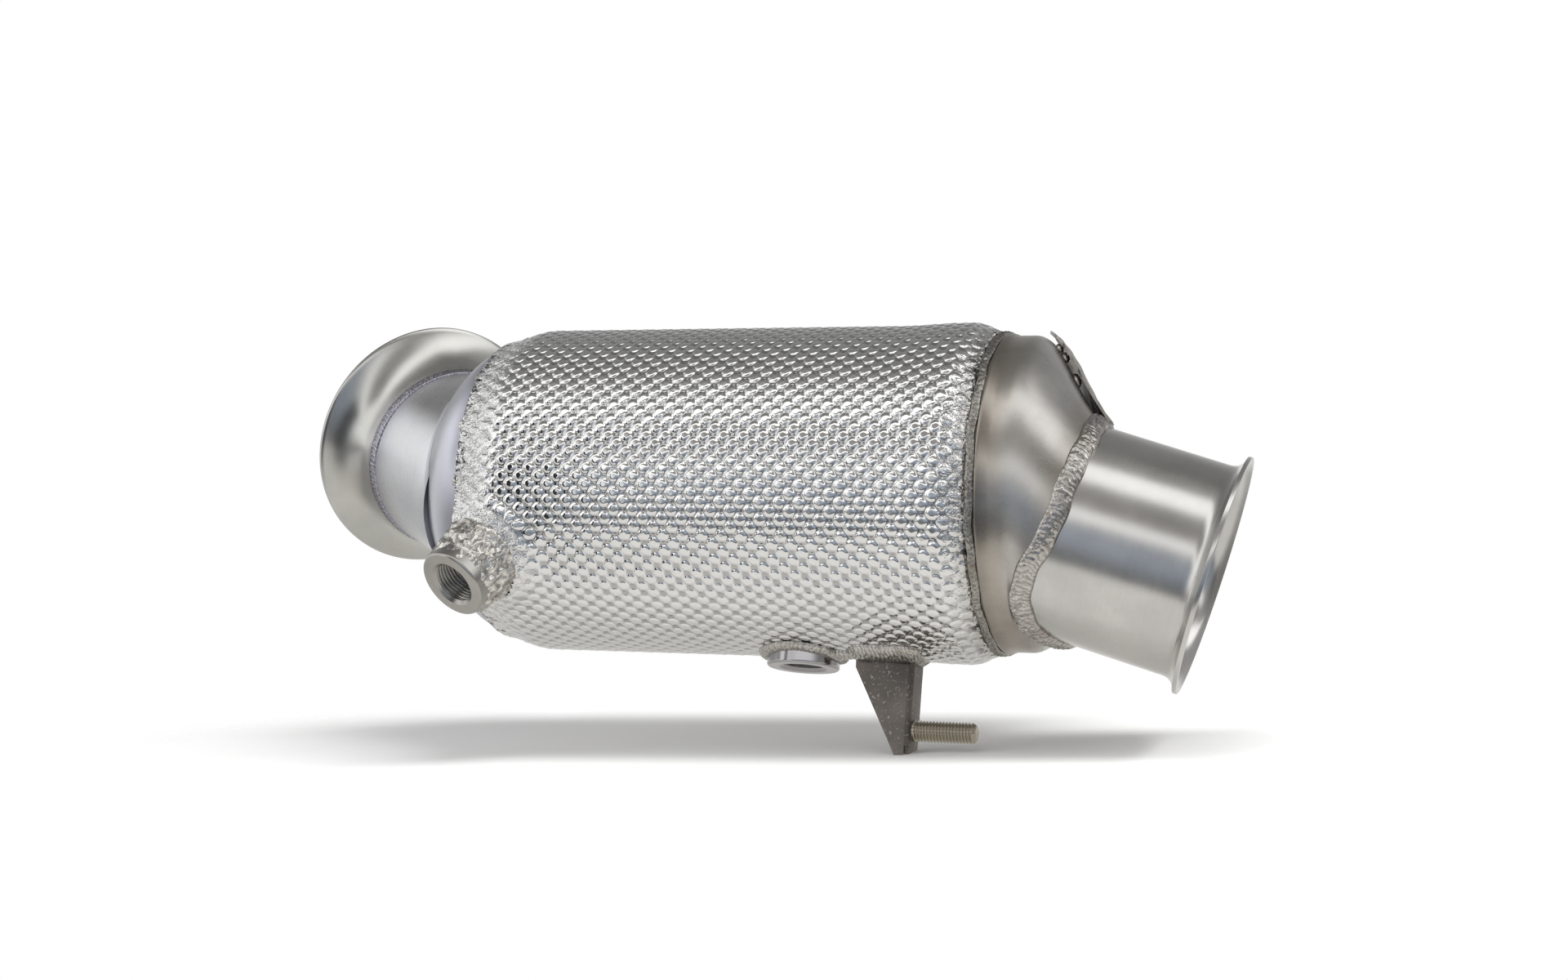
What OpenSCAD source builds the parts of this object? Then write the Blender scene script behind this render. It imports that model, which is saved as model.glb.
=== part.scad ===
// Downpipe with catalytic converter. The can axis is X with the outlet at +X, Z is up and the
// hanger bracket points down. The origin is the centre of the inlet flange's mating face.

/* [Can] */
// Length of the heat shield along the can axis
shield_len = 202; // [150:1:260]
// Outside diameter of the heat shield over its bumps
shield_od = 128.8; // [100:0.2:160]
// Wall of the heat shield foil
shield_wall = 0.9; // [0.5:0.1:1.5]
// Outside diameter of the converter shell
shell_od = 120; // [90:0.5:150]
// Wall of the converter shell
shell_wall = 1.5; // [1:0.1:3]
// Length of the catalyst honeycomb
honeycomb_len = 80; // [40:1:120]
// Thickness of the mat that holds the honeycomb
honeycomb_mat = 4.5; // [2:0.1:8]
// Distance of the honeycomb behind the heat shield's front rim
honeycomb_inset = 26; // [20:1:60]
// Length of shell that the heat shield's front end covers
shell_inset = 9; // [5:1:15]

/* [Heat shield] */
// Depth of the pits between the bumps pressed into the foil
emboss_depth = 0.9; // [0.3:0.1:1.2]
// Bumps and pits in a row along the shield
emboss_rows = 34; // [20:2:48]
// Bumps and pits in a ring round the shield
emboss_cols = 84; // [48:2:128]
// Length of the narrowed front end of the heat shield
front_neck_len = 18; // [8:1:30]
// How much the front end narrows
front_neck_drop = 4; // [1:0.1:5]
// Length of the narrowed rear end of the heat shield
rear_neck_len = 11; // [6:1:25]
// How much the rear end narrows
rear_neck_drop = 2.7; // [0.5:0.1:4]
// Height of the swell just before the rear end
rear_swell = 0.9; // [0:0.1:2]

/* [Inlet] */
// Distance from the heat shield's front rim to the inlet face, along the can
inlet_ahead = 61.8; // [50:0.2:90]
// Offset of the inlet face away from the front side
inlet_side = 36.1; // [0:0.1:60]
// Height of the inlet face above the can axis
inlet_rise = 28.5; // [0:0.1:60]
// Angle of the inlet axis across the can
inlet_yaw = 33.7; // [0:0.1:60]
// Angle of the inlet axis above the can
inlet_pitch = 23.1; // [0:0.1:45]
// Width of the inlet flange's face round its register
inlet_lip = 5.5; // [3:0.1:12]
// Length of the inlet flange's flare
inlet_flare_len = 22.6; // [12:0.2:35]
// Diameter of the register in the inlet flange's face
inlet_register_d = 92; // [78:0.2:96]
// Depth of the register
inlet_register_depth = 3; // [1:0.1:6]
// Outside diameter of the inlet pipe
inlet_pipe_od = 75; // [50:0.5:90]
// Wall of the inlet pipe and flange
inlet_wall = 2; // [1:0.1:4]
// Thickness of the flange rim
inlet_rim = 2.4; // [1:0.1:5]
// Wall of the inlet cone
inlet_cone_wall = 1.8; // [1:0.1:4]
// Length of the inlet cone along the can
inlet_cone_len = 33; // [20:1:50]
// Radius of the inlet cone's small end
inlet_cone_small_r = 36.5; // [25:0.5:50]

/* [Outlet] */
// Distance of the outlet face behind the heat shield's rear rim
outlet_ahead = 81.5; // [60:0.5:120]
// Offset of the outlet face toward the front side
outlet_side = 4.9; // [-20:0.1:20]
// Depth of the outlet face below the can axis
outlet_drop = 31.4; // [0:0.1:50]
// Angle of the outlet pipe across the can
outlet_yaw = 8.4; // [-20:0.1:20]
// Angle of the outlet pipe below the can
outlet_pitch = 15.6; // [0:0.1:35]
// Outside diameter of the outlet pipe
outlet_pipe_od = 80.7; // [50:0.1:100]
// Wall of the outlet pipe
outlet_wall = 1.8; // [1:0.1:3]
// Outside diameter of the outlet pipe's flared rim
outlet_rim_od = 90.8; // [70:0.2:110]
// Length of the flare at the outlet
outlet_flare_len = 7.5; // [4:0.5:15]
// Thickness of the outlet pipe's flared rim
outlet_rim = 1.6; // [0.8:0.1:3]
// Mean distance from the outlet face to the saddle weld
saddle_back = 59.4; // [45:0.2:75]
// How far the saddle weld dips toward the can on the front side
saddle_dip = 5.4; // [0:0.2:10]
// How far the saddle weld climbs the pipe on the far underside
saddle_climb = 12; // [0:0.5:20]
// Wall of the outlet cone
outlet_cone_wall = 2.4; // [1.5:0.1:4]
// Length of the straight collar of the outlet cone
collar_len = 11; // [5:0.5:20]
// Height of the ridge rolled into the collar
ridge_height = 0.8; // [0.3:0.1:2]
// Thickness of the cover plate
plate_sheet = 1.5; // [0.8:0.1:3]

/* [Sensor bosses] */
// Outside diameter of both sensor bosses
boss_od = 28; // [22:0.5:36]
// Bore of both sensor bosses, the core diameter of an M18 x 1.5 thread
boss_bore = 16.4; // [10:0.1:20]
// Distance of the front boss face behind the heat shield's front rim
front_boss_inset = 4.7; // [0:0.1:30]
// Offset of the front boss face toward the front side
front_boss_side = 61.1; // [40:0.1:80]
// Depth of the front boss face below the can axis
front_boss_drop = 51.8; // [30:0.1:80]
// Angle of the front boss axis below the horizontal
front_boss_pitch = 45.4; // [0:0.1:90]
// Angle of the front boss axis, swung toward the inlet
front_boss_yaw = 25.6; // [0:0.1:60]
// Distance of the rear boss from the heat shield's rear rim
rear_boss_back = 75.2; // [40:0.1:120]
// Distance of the rear boss face from the can axis
rear_boss_reach = 69.4; // [66:0.1:80]
// Chamfer round the face of both sensor bosses
boss_chamfer = 0.6; // [0.2:0.1:2]
// Width of the countersink at the mouth of their bores
boss_mouth = 1.1; // [0.5:0.1:2]

/* [Bracket and stud] */
// Sheet thickness of the hanger bracket
bracket_sheet = 2.6; // [1.5:0.1:5]
// Distance of the bracket's plate face from the heat shield's rear rim
bracket_back = 29.5; // [15:0.5:60]
// Width of the bracket plate across the can
bracket_width = 14; // [10:0.5:30]
// Length of the bracket's gusset along the can
gusset_len = 22.5; // [12:0.5:40]
// Distance of the bracket's tip from the can axis
bracket_reach = 105; // [80:0.5:130]
// Distance of the stud from the can axis
stud_reach = 91.9; // [75:0.5:110]
// Diameter of the stud, an M8 thread
stud_d = 8; // [5:0.5:12]
// Free length of the stud
stud_len = 24.4; // [10:0.2:40]
// Chamfer at the stud's tip
stud_chamfer = 0.9; // [0.3:0.1:2]

/* [Welds] */
// Radius of the bead between the inlet flange and its pipe
flange_bead_r = 1.9; // [1:0.1:3]
// Leg of the fillet between the inlet pipe and the inlet cone
inlet_fillet = 3; // [1:0.1:5]
// Radius of the bead behind the heat shield
rear_bead_r = 2; // [1:0.1:3]
// Length of the tacks on the heat shield's front rim, along the can
tack_len = 2.2; // [1:0.1:4]
// Width of the saddle bead, along the outlet pipe
saddle_bead_w = 7; // [4:0.1:9]
// Height of the saddle bead over the outlet pipe
saddle_bead_h = 3.9; // [2.6:0.1:6]
// Width of the weld round the front boss
front_bead_w = 4; // [2:0.1:6]
// Width of the weld round the rear boss
rear_boss_bead_w = 3.5; // [2:0.1:5]
// Width of the weld on the can along the bracket's gusset
gusset_bead_w = 8; // [4:0.1:12]
// Height of that weld on the gusset
gusset_bead_h = 3.2; // [2:0.1:5]
// Radius of the bead along the bracket's plate
plate_bead_r = 2.4; // [1:0.1:4]

/* [Hidden] */
$fn = 96;

eps = 0.05;
// The heat shield ends this far short of the can's rear rim.
shield_gap = 0.5;
// Clearance between the insulation mat and the foil's pits.
mat_gap = 0.1;
// Clearance round the bosses' bores in the walls that they pass.
bore_gap = 0.6;
// Depth to which tubes and bosses are drawn into the can before they are trimmed to it.
root = 16;
shield_r = shield_od / 2;
shell_r = shell_od / 2;
bore_r = shell_r - shell_wall;
front_x = -shield_len;
inlet_r = inlet_pipe_od / 2;
outlet_r = outlet_pipe_od / 2;
outlet_rim_r = outlet_rim_od / 2;
boss_r = boss_od / 2;
inlet_c = [front_x - inlet_ahead, inlet_side, inlet_rise];
outlet_c = [outlet_ahead, -outlet_side, -outlet_drop];
front_boss_c = [front_x + front_boss_inset, -front_boss_side, -front_boss_drop];
// The inlet cone starts under the shield's neck, where it is welded to the shell.
cone_base_x = front_x + shell_inset;
// The shell passes the can's rear rim by this much, to where the outlet cone's collar starts.
shell_lap = 1;
cone_tip_x = cone_base_x - inlet_cone_len;
// The inlet pipe is cut from a tube that reaches this far behind the inlet face.
inlet_reach = inlet_ahead + shell_inset + root;
front_boss_len = norm([front_boss_side, front_boss_drop]) - shell_r + root;
rear_boss_len = rear_boss_reach - shell_r + root;

// A point of a cubic curve through four control points.
function cubic(a, b, c, d, t) =
    pow(1 - t, 3) * a + 3 * t * pow(1 - t, 2) * b + 3 * t * t * (1 - t) * c + t * t * t * d;

// The side of the inlet cone, from its base to its small end, moved in by a wall.
function cone_side(wall, steps = 12) = [for (i = [0:steps])
    cubic([cone_base_x, shell_r - wall], [cone_base_x - 0.3 * inlet_cone_len, shell_r - wall],
        [cone_base_x - 0.64 * inlet_cone_len, shell_r - 4 - wall],
        [cone_tip_x, inlet_cone_small_r - wall], i / steps)];

// Solid of revolution about X from a list of [x, r] points.
module about_x(points) {
    rotate([0, 90, 0]) rotate_extrude() polygon([for (p = points) [p[1], p[0]]]);
}

// Places a piece drawn along +Z on the inlet axis, the inlet face at zero and outside at +Z.
module on_inlet() {
    translate(inlet_c) rotate([0, 90 - inlet_pitch, 180 - inlet_yaw]) children();
}

module on_outlet() {
    translate(outlet_c) rotate([0, 90 + outlet_pitch, outlet_yaw]) children();
}

module on_front_boss() {
    translate(front_boss_c) rotate([0, 90 + front_boss_pitch, -90 - front_boss_yaw]) children();
}

module on_rear_boss() {
    translate([-rear_boss_back, 0, -rear_boss_reach]) rotate([180, 0, 0]) children();
}

// The outside of the shell and inlet cone as one solid, grown by a margin.
module front_body(grow = 0) {
    about_x(concat([[0, 0], [0, shell_r + grow]], cone_side(-grow), [[cone_tip_x - eps, 0]]));
}

// The shield swells between these distances ahead of the can's rear rim.
swell_from = 40;
swell_to = 16;

function smooth(t) = let (u = min(1, max(0, t))) u * u * (3 - 2 * u);
// Outside radius of the heat shield over its bumps, at a distance along the can.
function shield_profile(x) =
    shield_r - front_neck_drop * smooth((front_x + front_neck_len - x) / front_neck_len)
    - (rear_neck_drop + rear_swell) * smooth((x + rear_neck_len) / rear_neck_len)
    + rear_swell * smooth((x + swell_from) / (swell_from - swell_to));

// Distances along the can that follow the profile more closely in both necks.
shield_stations = concat(
    [for (i = [0:8]) front_x + front_neck_len * i / 8],
    [for (i = [0:4]) -swell_from + (swell_from - rear_neck_len) * i / 4],
    [for (i = [1:7]) -rear_neck_len + (rear_neck_len - shield_gap) * i / 7]);
// The fewer distances at which the foil's smooth inside turns.
lining_stations = concat(
    [for (i = [0:4]) front_x + front_neck_len * i / 4],
    [-swell_from, -swell_to, -rear_neck_len, -(rear_neck_len + shield_gap) / 2, -shield_gap]);

// The heat shield and all inside it as one solid, grown by a margin.
module shield_body(grow = 0) {
    about_x(concat([[front_x, 0]], [for (x = shield_stations) [x, shield_profile(x) + grow]],
        [[-shield_gap, 0]]), $fn = 240);
}

// Closes a ring of n cross-sections of k points each into one solid. The points come side by
// side: first the same point of all the cross-sections, then the next.
module ring_sweep(points, k, n) {
    polyhedron(points, [for (j = [0:k - 1], i = [0:n - 1])
        let (i2 = (i + 1) % n, j2 = (j + 1) % k)
        each [[j * n + i, j2 * n + i, j2 * n + i2], [j * n + i, j2 * n + i2, j * n + i2]]]);
}

// Closes two grids of points, an outer and an inner one, into one solid. Both have rows of cols
// points, and a wrapped grid joins its last column to its first. The quads are cut in two along
// diagonals that cross over from each to the next, so that every other point stands as a bump.
module closed_grids(outer, inner, outer_rows, inner_rows, cols, wrap) {
    base = outer_rows * cols;
    last = wrap ? cols - 1 : cols - 2;
    a = (outer_rows - 1) * cols;
    b = base + (inner_rows - 1) * cols;
    function turned(q, by) = by ? [q[1], q[2], q[3], q[0]] : q;
    function flipped(list) = [for (m = [len(list) - 1:-1:0]) list[m]];
    quads = concat(
        [for (j = [0:outer_rows - 2], i = [0:last]) let (k = (i + 1) % cols)
            turned([j * cols + i, (j + 1) * cols + i, (j + 1) * cols + k, j * cols + k],
                (i + j) % 2 == 0)],
        [for (j = [0:inner_rows - 2], i = [0:last]) let (k = (i + 1) % cols)
            [base + j * cols + i, base + j * cols + k, base + (j + 1) * cols + k,
                base + (j + 1) * cols + i]],
        [for (i = [0:last]) let (k = (i + 1) % cols) [i, k, base + k, base + i]],
        [for (i = [0:last]) let (k = (i + 1) % cols) [a + i, b + i, b + k, a + k]]);
    ends = wrap ? [] : let (n = min(outer_rows, inner_rows) - 2)
        [for (j = [0:n]) each [
            [j * cols, base + j * cols, base + (j + 1) * cols, (j + 1) * cols],
            flipped([j * cols + cols - 1, base + j * cols + cols - 1,
                base + (j + 1) * cols + cols - 1, (j + 1) * cols + cols - 1])]];
    polyhedron(concat(outer, inner),
        [for (q = concat(quads, ends)) each [[q[0], q[1], q[2]], [q[0], q[2], q[3]]]]);
}

module inlet_flange() {
    mouth = inlet_register_d / 2;
    face = mouth + inlet_lip;
    outer = [for (i = [0:10]) cubic([inlet_r, -inlet_flare_len], [inlet_r, -inlet_flare_len * 0.62],
        [inlet_r + (face - inlet_r) * 0.3, -inlet_flare_len * 0.3], [face, -inlet_rim], i / 10)];
    inner = [for (i = [10:-1:0]) cubic([inlet_r - inlet_wall, -inlet_flare_len],
        [inlet_r - inlet_wall, -inlet_flare_len * 0.5],
        [inlet_r + (mouth - inlet_r) * 0.2, -inlet_flare_len * 0.4],
        [mouth, -inlet_register_depth], i / 10)];
    color([0.62, 0.61, 0.58]) on_inlet() rotate_extrude()
        polygon(concat(outer, [[face, -0.5], [face - 0.5, 0], [mouth, 0]], inner));
}

module inlet_flange_weld() {
    color([0.55, 0.55, 0.6]) on_inlet() difference() {
        translate([0, 0, -inlet_flare_len - 0.85 * flange_bead_r]) rotate_extrude()
            translate([inlet_r - 0.25 * flange_bead_r, 0]) circle(r = flange_bead_r, $fn = 32);
        translate([0, 0, -inlet_flare_len - 3 * flange_bead_r])
            cylinder(r = inlet_r, h = 6 * flange_bead_r);
        translate([0, 0, -inlet_flare_len])
            cylinder(r = inlet_r + 2 * flange_bead_r, h = 3 * flange_bead_r);
    }
}

module inlet_pipe() {
    color([0.68, 0.68, 0.7]) difference() {
        on_inlet() translate([0, 0, -inlet_reach])
            cylinder(r = inlet_r, h = inlet_reach - inlet_flare_len);
        on_inlet() translate([0, 0, -inlet_reach - 1])
            cylinder(r = inlet_r - inlet_wall, h = inlet_reach + 2);
        front_body();
    }
}

// A point about the inlet axis, at an angle, a radius and a distance from the inlet face.
inlet_dir = [-cos(inlet_pitch) * cos(inlet_yaw), cos(inlet_pitch) * sin(inlet_yaw),
    sin(inlet_pitch)];
inlet_across = [sin(inlet_yaw), cos(inlet_yaw), 0];
function inlet_point(a, r, s) = inlet_c + s * inlet_dir
    + r * (cos(a) * inlet_across + sin(a) * cross(inlet_dir, inlet_across));

// Radius of the inlet cone at a distance along the can.
function cone_r(x) = lookup(x, cone_side(0));
function clear_of_cone(p) = p[0] < cone_tip_x || norm([p[1], p[2]]) > cone_r(p[0]);

// Distance from the inlet face at which a line along the inlet axis meets the inlet cone.
function meets_cone(a, r, near = -inlet_flare_len, far = -inlet_reach, n = 20) =
    let (mid = (near + far) / 2)
    n == 0 ? mid
    : clear_of_cone(inlet_point(a, r, mid)) ? meets_cone(a, r, mid, far, n - 1)
    : meets_cone(a, r, near, mid, n - 1);

// Smooth fillet between the inlet pipe and the inlet cone, whose foot follows the cone.
module inlet_pipe_weld() {
    n = 60;
    leg = inlet_fillet;
    lift = leg / 20;
    inside = inlet_r + 2 * eps;
    foot = 4;
    function on_cone(a, share) = meets_cone(a, inlet_r + leg * share) + lift;
    rows = [for (i = [0:n - 1]) let (a = 360 * i / n) concat(
        [[inside, on_cone(a, 0.05)], [inside, max(on_cone(a, 0.05), on_cone(a, 1)) + leg],
            [inlet_r + leg * 0.4, on_cone(a, 0.4) + leg * 0.45]],
        [for (k = [foot:-1:1]) [inlet_r + leg * k / foot, on_cone(a, k / foot)]])];
    points = [for (k = [0:foot + 2], i = [0:n - 1])
        inlet_point(360 * i / n, rows[i][k][0], rows[i][k][1])];
    color([0.6, 0.62, 0.68]) ring_sweep(points, foot + 3, n);
}

// What a boss takes out of the walls that it passes.
module front_boss_hole(r) {
    on_front_boss() translate([0, 0, -front_boss_len]) cylinder(r = r, h = 2 * front_boss_len);
}

module rear_boss_hole(r) {
    on_rear_boss() translate([0, 0, -rear_boss_len]) cylinder(r = r, h = 2 * rear_boss_len);
}

module inlet_cone() {
    color([0.68, 0.68, 0.7]) difference() {
        about_x(concat(cone_side(0), [for (i = [12:-1:0]) cone_side(inlet_cone_wall)[i]]));
        on_inlet() translate([0, 0, -inlet_reach])
            cylinder(r = inlet_r - inlet_wall, h = inlet_reach);
        front_boss_hole(boss_bore / 2 + bore_gap);
    }
}

module converter_shell() {
    color([0.6, 0.6, 0.6]) difference() {
        about_x([[cone_base_x, shell_r], [shell_lap, shell_r], [shell_lap, bore_r],
            [cone_base_x, bore_r]]);
        front_boss_hole(boss_bore / 2 + bore_gap);
        rear_boss_hole(boss_bore / 2 + bore_gap);
    }
}

honeycomb_r = bore_r - honeycomb_mat;
honeycomb_x = front_x + honeycomb_inset;

// The rings in both faces stand for the layers of wound foil.
module honeycomb() {
    rings = 8;
    half = 1;
    deep = 2;
    color([0.5, 0.47, 0.43]) difference() {
        about_x([[honeycomb_x, 0], [honeycomb_x, honeycomb_r],
            [honeycomb_x + honeycomb_len, honeycomb_r], [honeycomb_x + honeycomb_len, 0]]);
        for (k = [1:rings], x = [honeycomb_x - 1, honeycomb_x + honeycomb_len - deep])
            translate([x, 0, 0]) rotate([0, 90, 0]) difference() {
                cylinder(r = k * honeycomb_r / (rings + 1) + half, h = deep + 1);
                translate([0, 0, -1])
                    cylinder(r = k * honeycomb_r / (rings + 1) - half, h = deep + 3);
            }
    }
}

module honeycomb_mat() {
    bare = 2;
    from = honeycomb_x + bare;
    to = honeycomb_x + honeycomb_len - bare;
    color([0.85, 0.84, 0.8])
        about_x([[from, honeycomb_r], [from, bore_r], [to, bore_r], [to, honeycomb_r]]);
}

// The mat fills the room between the shell and the foil, from neck to neck.
module insulation_mat() {
    outer = shield_r - emboss_depth - shield_wall - mat_gap;
    from = front_x + front_neck_len;
    to = -rear_neck_len;
    color([0.85, 0.84, 0.8]) difference() {
        about_x([[from, shell_r], [from, outer], [to, outer], [to, shell_r]]);
        front_boss_hole(boss_r + front_bead_w + 1);
        rear_boss_hole(boss_r + 1);
    }
}

// The foil is a grid of bumps with pits between them, like an egg crate rolled into a tube. Its
// rims are plain, and its inside is smooth.
module heat_shield() {
    pitch = (shield_len - shield_gap) / emboss_rows;
    function pit(i, j) = j == 0 || j == emboss_rows || (i + j) % 2 == 0 ? 0 : emboss_depth;
    function spot(i, x, r) =
        let (a = 360 * i / emboss_cols) [x, -r * cos(a), -r * sin(a)];
    function lining(x) = max(shield_profile(x) - emboss_depth - shield_wall, shell_r + eps);
    color([0.78, 0.78, 0.78]) difference() {
        closed_grids([for (j = [0:emboss_rows], i = [0:emboss_cols - 1])
                let (x = front_x + pitch * j) spot(i, x, shield_profile(x) - pit(i, j))],
            [for (x = lining_stations, i = [0:emboss_cols - 1]) spot(i, x, lining(x))],
            emboss_rows + 1, len(lining_stations), emboss_cols, true);
        front_boss_hole(boss_r + front_bead_w);
        rear_boss_hole(boss_r + 4 * eps);
    }
}

// Short fillets that tie the shield's front rim to the cone, by angle round the can.
module shield_front_tacks() {
    width = 4;
    start = front_x - eps;
    color([0.55, 0.53, 0.5]) for (a = [-62, -38, -14, 8, 150, 205, 255])
        rotate([a - 90, 0, 0]) rotate([0, 90, 0]) rotate_extrude(angle = width)
            polygon([[cone_r(start) + eps, start], [shield_profile(front_x) + 0.3, start],
                [shield_profile(front_x) + 0.1, start - tack_len / 2],
                [cone_r(start - tack_len) + eps, start - tack_len]]);
}

// The ridge rolled into the outlet cone's collar starts here.
ridge_x = 2.6;

module shield_rear_weld() {
    color([0.5, 0.47, 0.43]) difference() {
        translate([shell_lap, 0, 0]) rotate([0, 90, 0]) rotate_extrude()
            translate([shell_r + 0.45 * rear_bead_r, 0]) circle(r = rear_bead_r, $fn = 32);
        about_x([[-3 * rear_bead_r, 0], [-3 * rear_bead_r, shield_r], [-shield_gap, shield_r],
            [-shield_gap, shell_r], [ridge_x, shell_r], [ridge_x, shell_r + ridge_height],
            [ridge_x + 3 * rear_bead_r, shell_r + ridge_height], [ridge_x + 3 * rear_bead_r, 0]]);
    }
}

// A point on the outlet pipe: angle 0 faces the front side and 90 is underneath.
function outlet_dir() = [cos(outlet_pitch) * cos(outlet_yaw), cos(outlet_pitch) * sin(outlet_yaw),
    -sin(outlet_pitch)];
function outlet_down() = [-sin(outlet_pitch) * cos(outlet_yaw), -sin(outlet_pitch) * sin(outlet_yaw),
    -cos(outlet_pitch)];
function outlet_near() = [sin(outlet_yaw), -cos(outlet_yaw), 0];
function outlet_point(a, r, s) = outlet_c + s * outlet_dir()
    + r * (cos(a) * outlet_near() + sin(a) * outlet_down());

// Distance of the saddle weld from the outlet face, negative toward the can, at an angle
// between -180 and 180 around the pipe.
function bump(a, middle, width) = exp(-pow((a - middle) / width, 2));
function saddle_s(a) = -saddle_back - saddle_dip * bump(a, 52, 32)
    + saddle_climb * max(bump(a, 115, 30), 0.7 * bump(a, 165, 45), 0.7 * bump(a + 360, 165, 45));

cone_steps = 7;
cone_sides = 72;
function cone_ring(a, r) = [shell_lap + collar_len, -r * cos(a), -r * sin(a)];
// One point of the outlet cone's skin, by angle and by the share of the way to the saddle.
function cone_point(a, t, grow) =
    let (p = cone_ring(a, shell_r - 0.02 + grow),
        q = outlet_point(a, outlet_r + outlet_cone_wall + grow, saddle_s(a)),
        mid = (p + q) / 2)
    cubic(p, [p[0] + 0.3 * (q[0] - p[0]), p[1], p[2]], mid, q, t);
function signed(a) = a > 180 ? a - 360 : a;

module outlet_cone() {
    angles = [for (i = [0:cone_sides - 1]) signed(360 * i / cone_sides)];
    steps = [for (j = [0:cone_steps]) j / cone_steps];
    color([0.5, 0.46, 0.42]) union() {
        about_x([[shell_lap, shell_r], [ridge_x, shell_r], [ridge_x, shell_r + ridge_height],
            [ridge_x + 1.8, shell_r + ridge_height], [ridge_x + 2.6, shell_r],
            [shell_lap + collar_len + 0.2, shell_r], [shell_lap + collar_len + 0.2, bore_r],
            [shell_lap, bore_r]]);
        closed_grids([for (t = steps, a = angles) cone_point(a, t, 0)],
            [for (t = steps, a = angles) cone_point(a, t, eps - outlet_cone_wall)],
            cone_steps + 1, cone_steps + 1, cone_sides, true);
    }
}

// Cross-section of the saddle weld: distance from the cone's edge along the pipe, and height.
saddle_bead = let (w = saddle_bead_w, h = saddle_bead_h) [[eps, eps], [eps, outlet_cone_wall],
    [0.13 * w, 0.87 * h], [0.36 * w, h], [0.61 * w, 0.87 * h], [0.84 * w, 0.54 * h], [w, eps]];

module saddle_weld() {
    n = cone_sides;
    points = [for (b = saddle_bead, i = [0:n - 1]) let (a = signed(360 * i / n))
        outlet_point(a, outlet_r + b[1], saddle_s(a) + b[0])];
    color([0.5, 0.47, 0.43]) ring_sweep(points, len(saddle_bead), n);
}

module outlet_pipe() {
    rim = outlet_rim_r;
    wall_r = outlet_r - outlet_wall;
    edge = 0.3;
    // The pipe stops inside the cone a little short of the saddle, cut at a slant.
    end = saddle_back + 0.2;
    slant = [-1, -4.5, 0];
    slab = 2.5 * outlet_pipe_od;
    outer = [for (i = [0:8]) cubic([outlet_r, -outlet_flare_len], [outlet_r, -outlet_flare_len * 0.45],
        [outlet_r + (rim - outlet_r) * 0.45, -1.5 * outlet_rim], [rim, -outlet_rim], i / 8)];
    inner = [for (i = [8:-1:0]) cubic([wall_r, -outlet_flare_len], [wall_r, -outlet_flare_len * 0.3],
        [outlet_r + (rim - outlet_r) * 0.15, -0.9 * outlet_rim],
        [rim - edge - 1.2 * outlet_rim, 0], i / 8)];
    color([0.66, 0.65, 0.62]) difference() {
        on_outlet() rotate_extrude() polygon(concat([[outlet_r, -end - root]], outer,
            [[rim, -edge], [rim - edge, 0]], inner, [[wall_r, -end - root]]));
        on_outlet() translate([0, 0, -end]) rotate(slant)
            translate([0, 0, -slab / 4]) cube([slab, slab, slab / 2], center = true);
    }
}

module sensor_boss(len) {
    bore = boss_bore / 2;
    over = 0.3;
    difference() {
        rotate_extrude() polygon([[0, -len], [boss_r, -len], [boss_r, -boss_chamfer],
            [boss_r - boss_chamfer, 0], [0, 0]]);
        translate([0, 0, -len - 1]) cylinder(r = bore, h = len + 2);
        translate([0, 0, -boss_mouth])
            cylinder(r1 = bore, r2 = bore + boss_mouth + over, h = boss_mouth + over);
    }
}

module front_sensor_boss() {
    color([0.66, 0.65, 0.62]) difference() {
        on_front_boss() sensor_boss(front_boss_len);
        front_body();
    }
}

// The weld is heaped up round the boss, higher than the foil.
module front_boss_weld() {
    w = front_bead_w;
    top = 4;
    color([0.5, 0.46, 0.4]) difference() {
        on_front_boss() rotate_extrude() polygon([[boss_r, root - front_boss_len],
            [boss_r + w, root - front_boss_len], [boss_r + w, -top - 2.75 * w],
            [boss_r + 0.85 * w, -top - 1.75 * w], [boss_r + 0.4 * w, -top - 0.375 * w],
            [boss_r, -top]]);
        front_body();
    }
}

module rear_sensor_boss() {
    color([0.45, 0.43, 0.41]) difference() {
        on_rear_boss() sensor_boss(rear_boss_len);
        front_body();
    }
}

// The bead round the rear boss, with the run of weld that leads from it toward the bracket.
module rear_boss_weld() {
    w = rear_boss_bead_w;
    x = -rear_boss_back;
    high = rear_boss_reach - shield_r;
    run_r = 0.75 * w;
    run_len = bracket_start - x - boss_r + 2 * w;
    color([0.5, 0.47, 0.43]) difference() {
        union() {
            translate([x, 0, -shield_r - high / 2])
                cylinder(r1 = boss_r + 0.3 * w, r2 = boss_r + w, h = high);
            translate([x + boss_r - 0.5 * w, -0.85 * w, -shield_r - 0.1 * w]) rotate([0, 90, 0])
                cylinder(r = run_r, h = run_len);
        }
        translate([x, 0, -rear_boss_reach - root]) cylinder(r = boss_r, h = 2 * root);
        rotate([0, 90, 0]) cylinder(r = shield_r + eps, h = 2 * shield_len, center = true);
        bracket_blank();
    }
}

// The bracket's gusset starts here, along the can.
bracket_start = -bracket_back - gusset_len - 1;

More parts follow.
